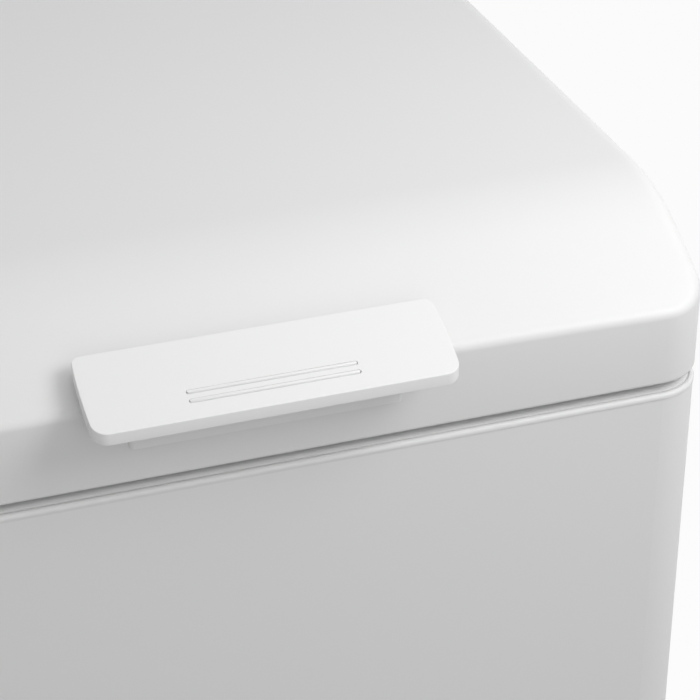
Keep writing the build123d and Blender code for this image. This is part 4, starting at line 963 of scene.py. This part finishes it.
def crossOutline():
    # the recess's four arms, six points each
    long, half = screwLook["armLength"], screwLook["armWidth"] / 2
    middle = (long + half) / 2
    arm = [(long, -half), (long, 0), (long, half), (middle, half), (half, half), (half, middle)]
    outline = []
    for quarter in range(4):
        cosine, sine = math.cos(quarter * math.pi / 2), math.sin(quarter * math.pi / 2)
        outline += [(x * cosine - y * sine, x * sine + y * cosine) for x, y in arm]
    return outline


def makeScrewHead():
    look = screwLook
    radius, rounding, taper = look["radius"], look["rounding"], look["taper"]
    profile = [(radius, -look["height"])]
    for turn in quarterTurns(look["roundSteps"]):
        z = rounding * (math.sin(turn) - 1) - look["crown"]
        profile.append((radius - rounding * (1 - math.cos(turn)), z))
    profile.append((look["landRadius"], 0.0))
    cross = crossOutline()
    angles = [2 * math.pi * (i - 1) / len(cross) for i in range(len(cross))]  # as many as the cross has
    rings = [[(r * math.cos(a), r * math.sin(a), z) for a in angles] for r, z in profile]
    rings.append([(x, y, 0.0) for x, y in cross])
    rings.append([(x * taper, y * taper, -look["recess"]) for x, y in cross])
    return meshFromRings("screwHead", rings, (0, 0, -look["height"]), (0, 0, -look["recessTip"]))


screwMaster = bpy.data.objects.new("screwMaster", makeScrewHead())


def pointMesh(name, places, facing, turns):
    mesh = bpy.data.meshes.new(name)
    mesh.from_pydata([tuple(place) for place in places], [], [])
    ways = list(facing) * len(places)
    mesh.attributes.new("facing", "FLOAT_VECTOR", "POINT").data.foreach_set("vector", ways)
    mesh.attributes.new("turn", "FLOAT", "POINT").data.foreach_set("value", turns)
    return mesh


def makeScrews(name, node, body, facing, spacing=None):
    # heads in the corners of the node's box, and in two more columns where a spacing is given
    look = screwLook
    low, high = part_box(node)
    radius = look["radius"]
    left, right = low.x + radius, high.x - radius
    columns = [left, right] if spacing is None else [left, left + spacing, right - spacing, right]
    rows = sorted({round(low.z + radius, look["rowDigits"]), round(high.z - radius, look["rowDigits"])})
    y = high.y if facing > 0 else low.y
    places = [(x, y, z) for x in columns for z in rows]
    turns = [look["turnStep"] * i for i in range(len(places))]
    points = pointMesh(name, places, (0, facing, 0), turns)
    mesh = runTree(name, points, copiesOnPoints, {"Master": screwMaster, "Material": zincSteel})
    addPiece(name, mesh, zincSteel, body, [node])


makeScrews("bracketScrews", "bracket_screws", "cabinet", 1, screwLook["bracketSpacing"])
makeScrews("leafScrews", "leaf_screws", "lid", 1, screwLook["leafSpacing"])
makeScrews("coverScrews", "rear_cover_screws", "cabinet", 1)
makeScrews("handleScrews", "handle_screws", "lid", -1)
print("screws made")

# Plain numbers and ticks round the thermostat knob, and the knob's pointer

dialLook = {
    "numbers": 6, "sweep": math.radians(270), "numberRadius": 0.0222, "numberSize": 0.0052, "ink": 0.00003,
    "tickRadius": 0.0187, "tickLength": 0.0018, "tickWidth": 0.0005,
    "pointerWidth": 0.0012, "pointerLength": 0.0065, "pointerRise": 0.0058}
knobLow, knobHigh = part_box("thermostat_knob")
dialCentre = Vector((
    (knobLow.x + knobHigh.x) / 2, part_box("control_panel")[0].y, (knobLow.z + knobHigh.z) / 2))
upright = Matrix.Rotation(math.pi / 2, 4, "X")


def inkBar(name, width, length):
    # a flat bar, its length along y and its printed side along z
    ink = dialLook["ink"]
    x, y = width / 2, length / 2
    rings = [[(x, -y, z), (x, y, z), (-x, y, z), (-x, -y, z)] for z in (-ink, ink)]
    return meshFromRings(name, rings, (0, 0, -ink), (0, 0, ink))


def weldMesh(mesh, reach=0.000001):
    # merges the doubled points that text leaves along its edges
    shell = bmesh.new()
    shell.from_mesh(mesh)
    bmesh.ops.remove_doubles(shell, verts=shell.verts, dist=reach)
    bmesh.ops.recalc_face_normals(shell, faces=shell.faces)
    shell.to_mesh(mesh)
    shell.free()
    return mesh


def dialPlaces(count, radius):
    # angles and places of marks spread over the knob's sweep
    angles = [dialLook["sweep"] * i / (count - 1) for i in range(count)]
    return angles, [dialCentre + Vector((math.sin(a), 0, math.cos(a))) * radius for a in angles]


def makeNumber(number, place):
    words = bpy.data.curves.new("dialNumber", "FONT")
    words.body = str(number)
    words.size = dialLook["numberSize"]
    words.align_x, words.align_y = "CENTER", "CENTER"
    words.extrude = dialLook["ink"]
    holder = bpy.data.objects.new("dialNumber", words)
    sceneRoot.collection.objects.link(holder)
    mesh = bpy.data.meshes.new_from_object(holder.evaluated_get(bpy.context.evaluated_depsgraph_get()))
    bpy.data.objects.remove(holder)
    bpy.data.curves.remove(words)
    mesh.transform(Matrix.Translation(place) @ upright)
    return weldMesh(mesh)


def makeDialMarks():
    look = dialLook
    places = dialPlaces(look["numbers"], look["numberRadius"])[1]
    pieces = [makeNumber(number, place) for number, place in enumerate(places)]
    angles, places = dialPlaces(2 * look["numbers"] - 1, look["tickRadius"])
    master = bpy.data.objects.new("tickMaster", inkBar("tickBar", look["tickWidth"], look["tickLength"]))
    points = pointMesh("dialTicks", places, (0, -1, 0), [-a for a in angles])
    pieces.append(runTree("dialTicks", points, copiesOnPoints, {"Master": master, "Material": inkGrey}))
    addPiece("dialMarks", joinMeshes("dialMarks", pieces), inkGrey, "cabinet")


def makePointer():
    look = dialLook
    mesh = inkBar("knobPointer", look["pointerWidth"], look["pointerLength"])
    place = Vector((dialCentre.x, knobLow.y, dialCentre.z + look["pointerRise"]))
    mesh.transform(Matrix.Translation(place) @ upright)
    addPiece("knobPointer", mesh, inkGrey, "dial")


makeDialMarks()
makePointer()
print("dial marks made")
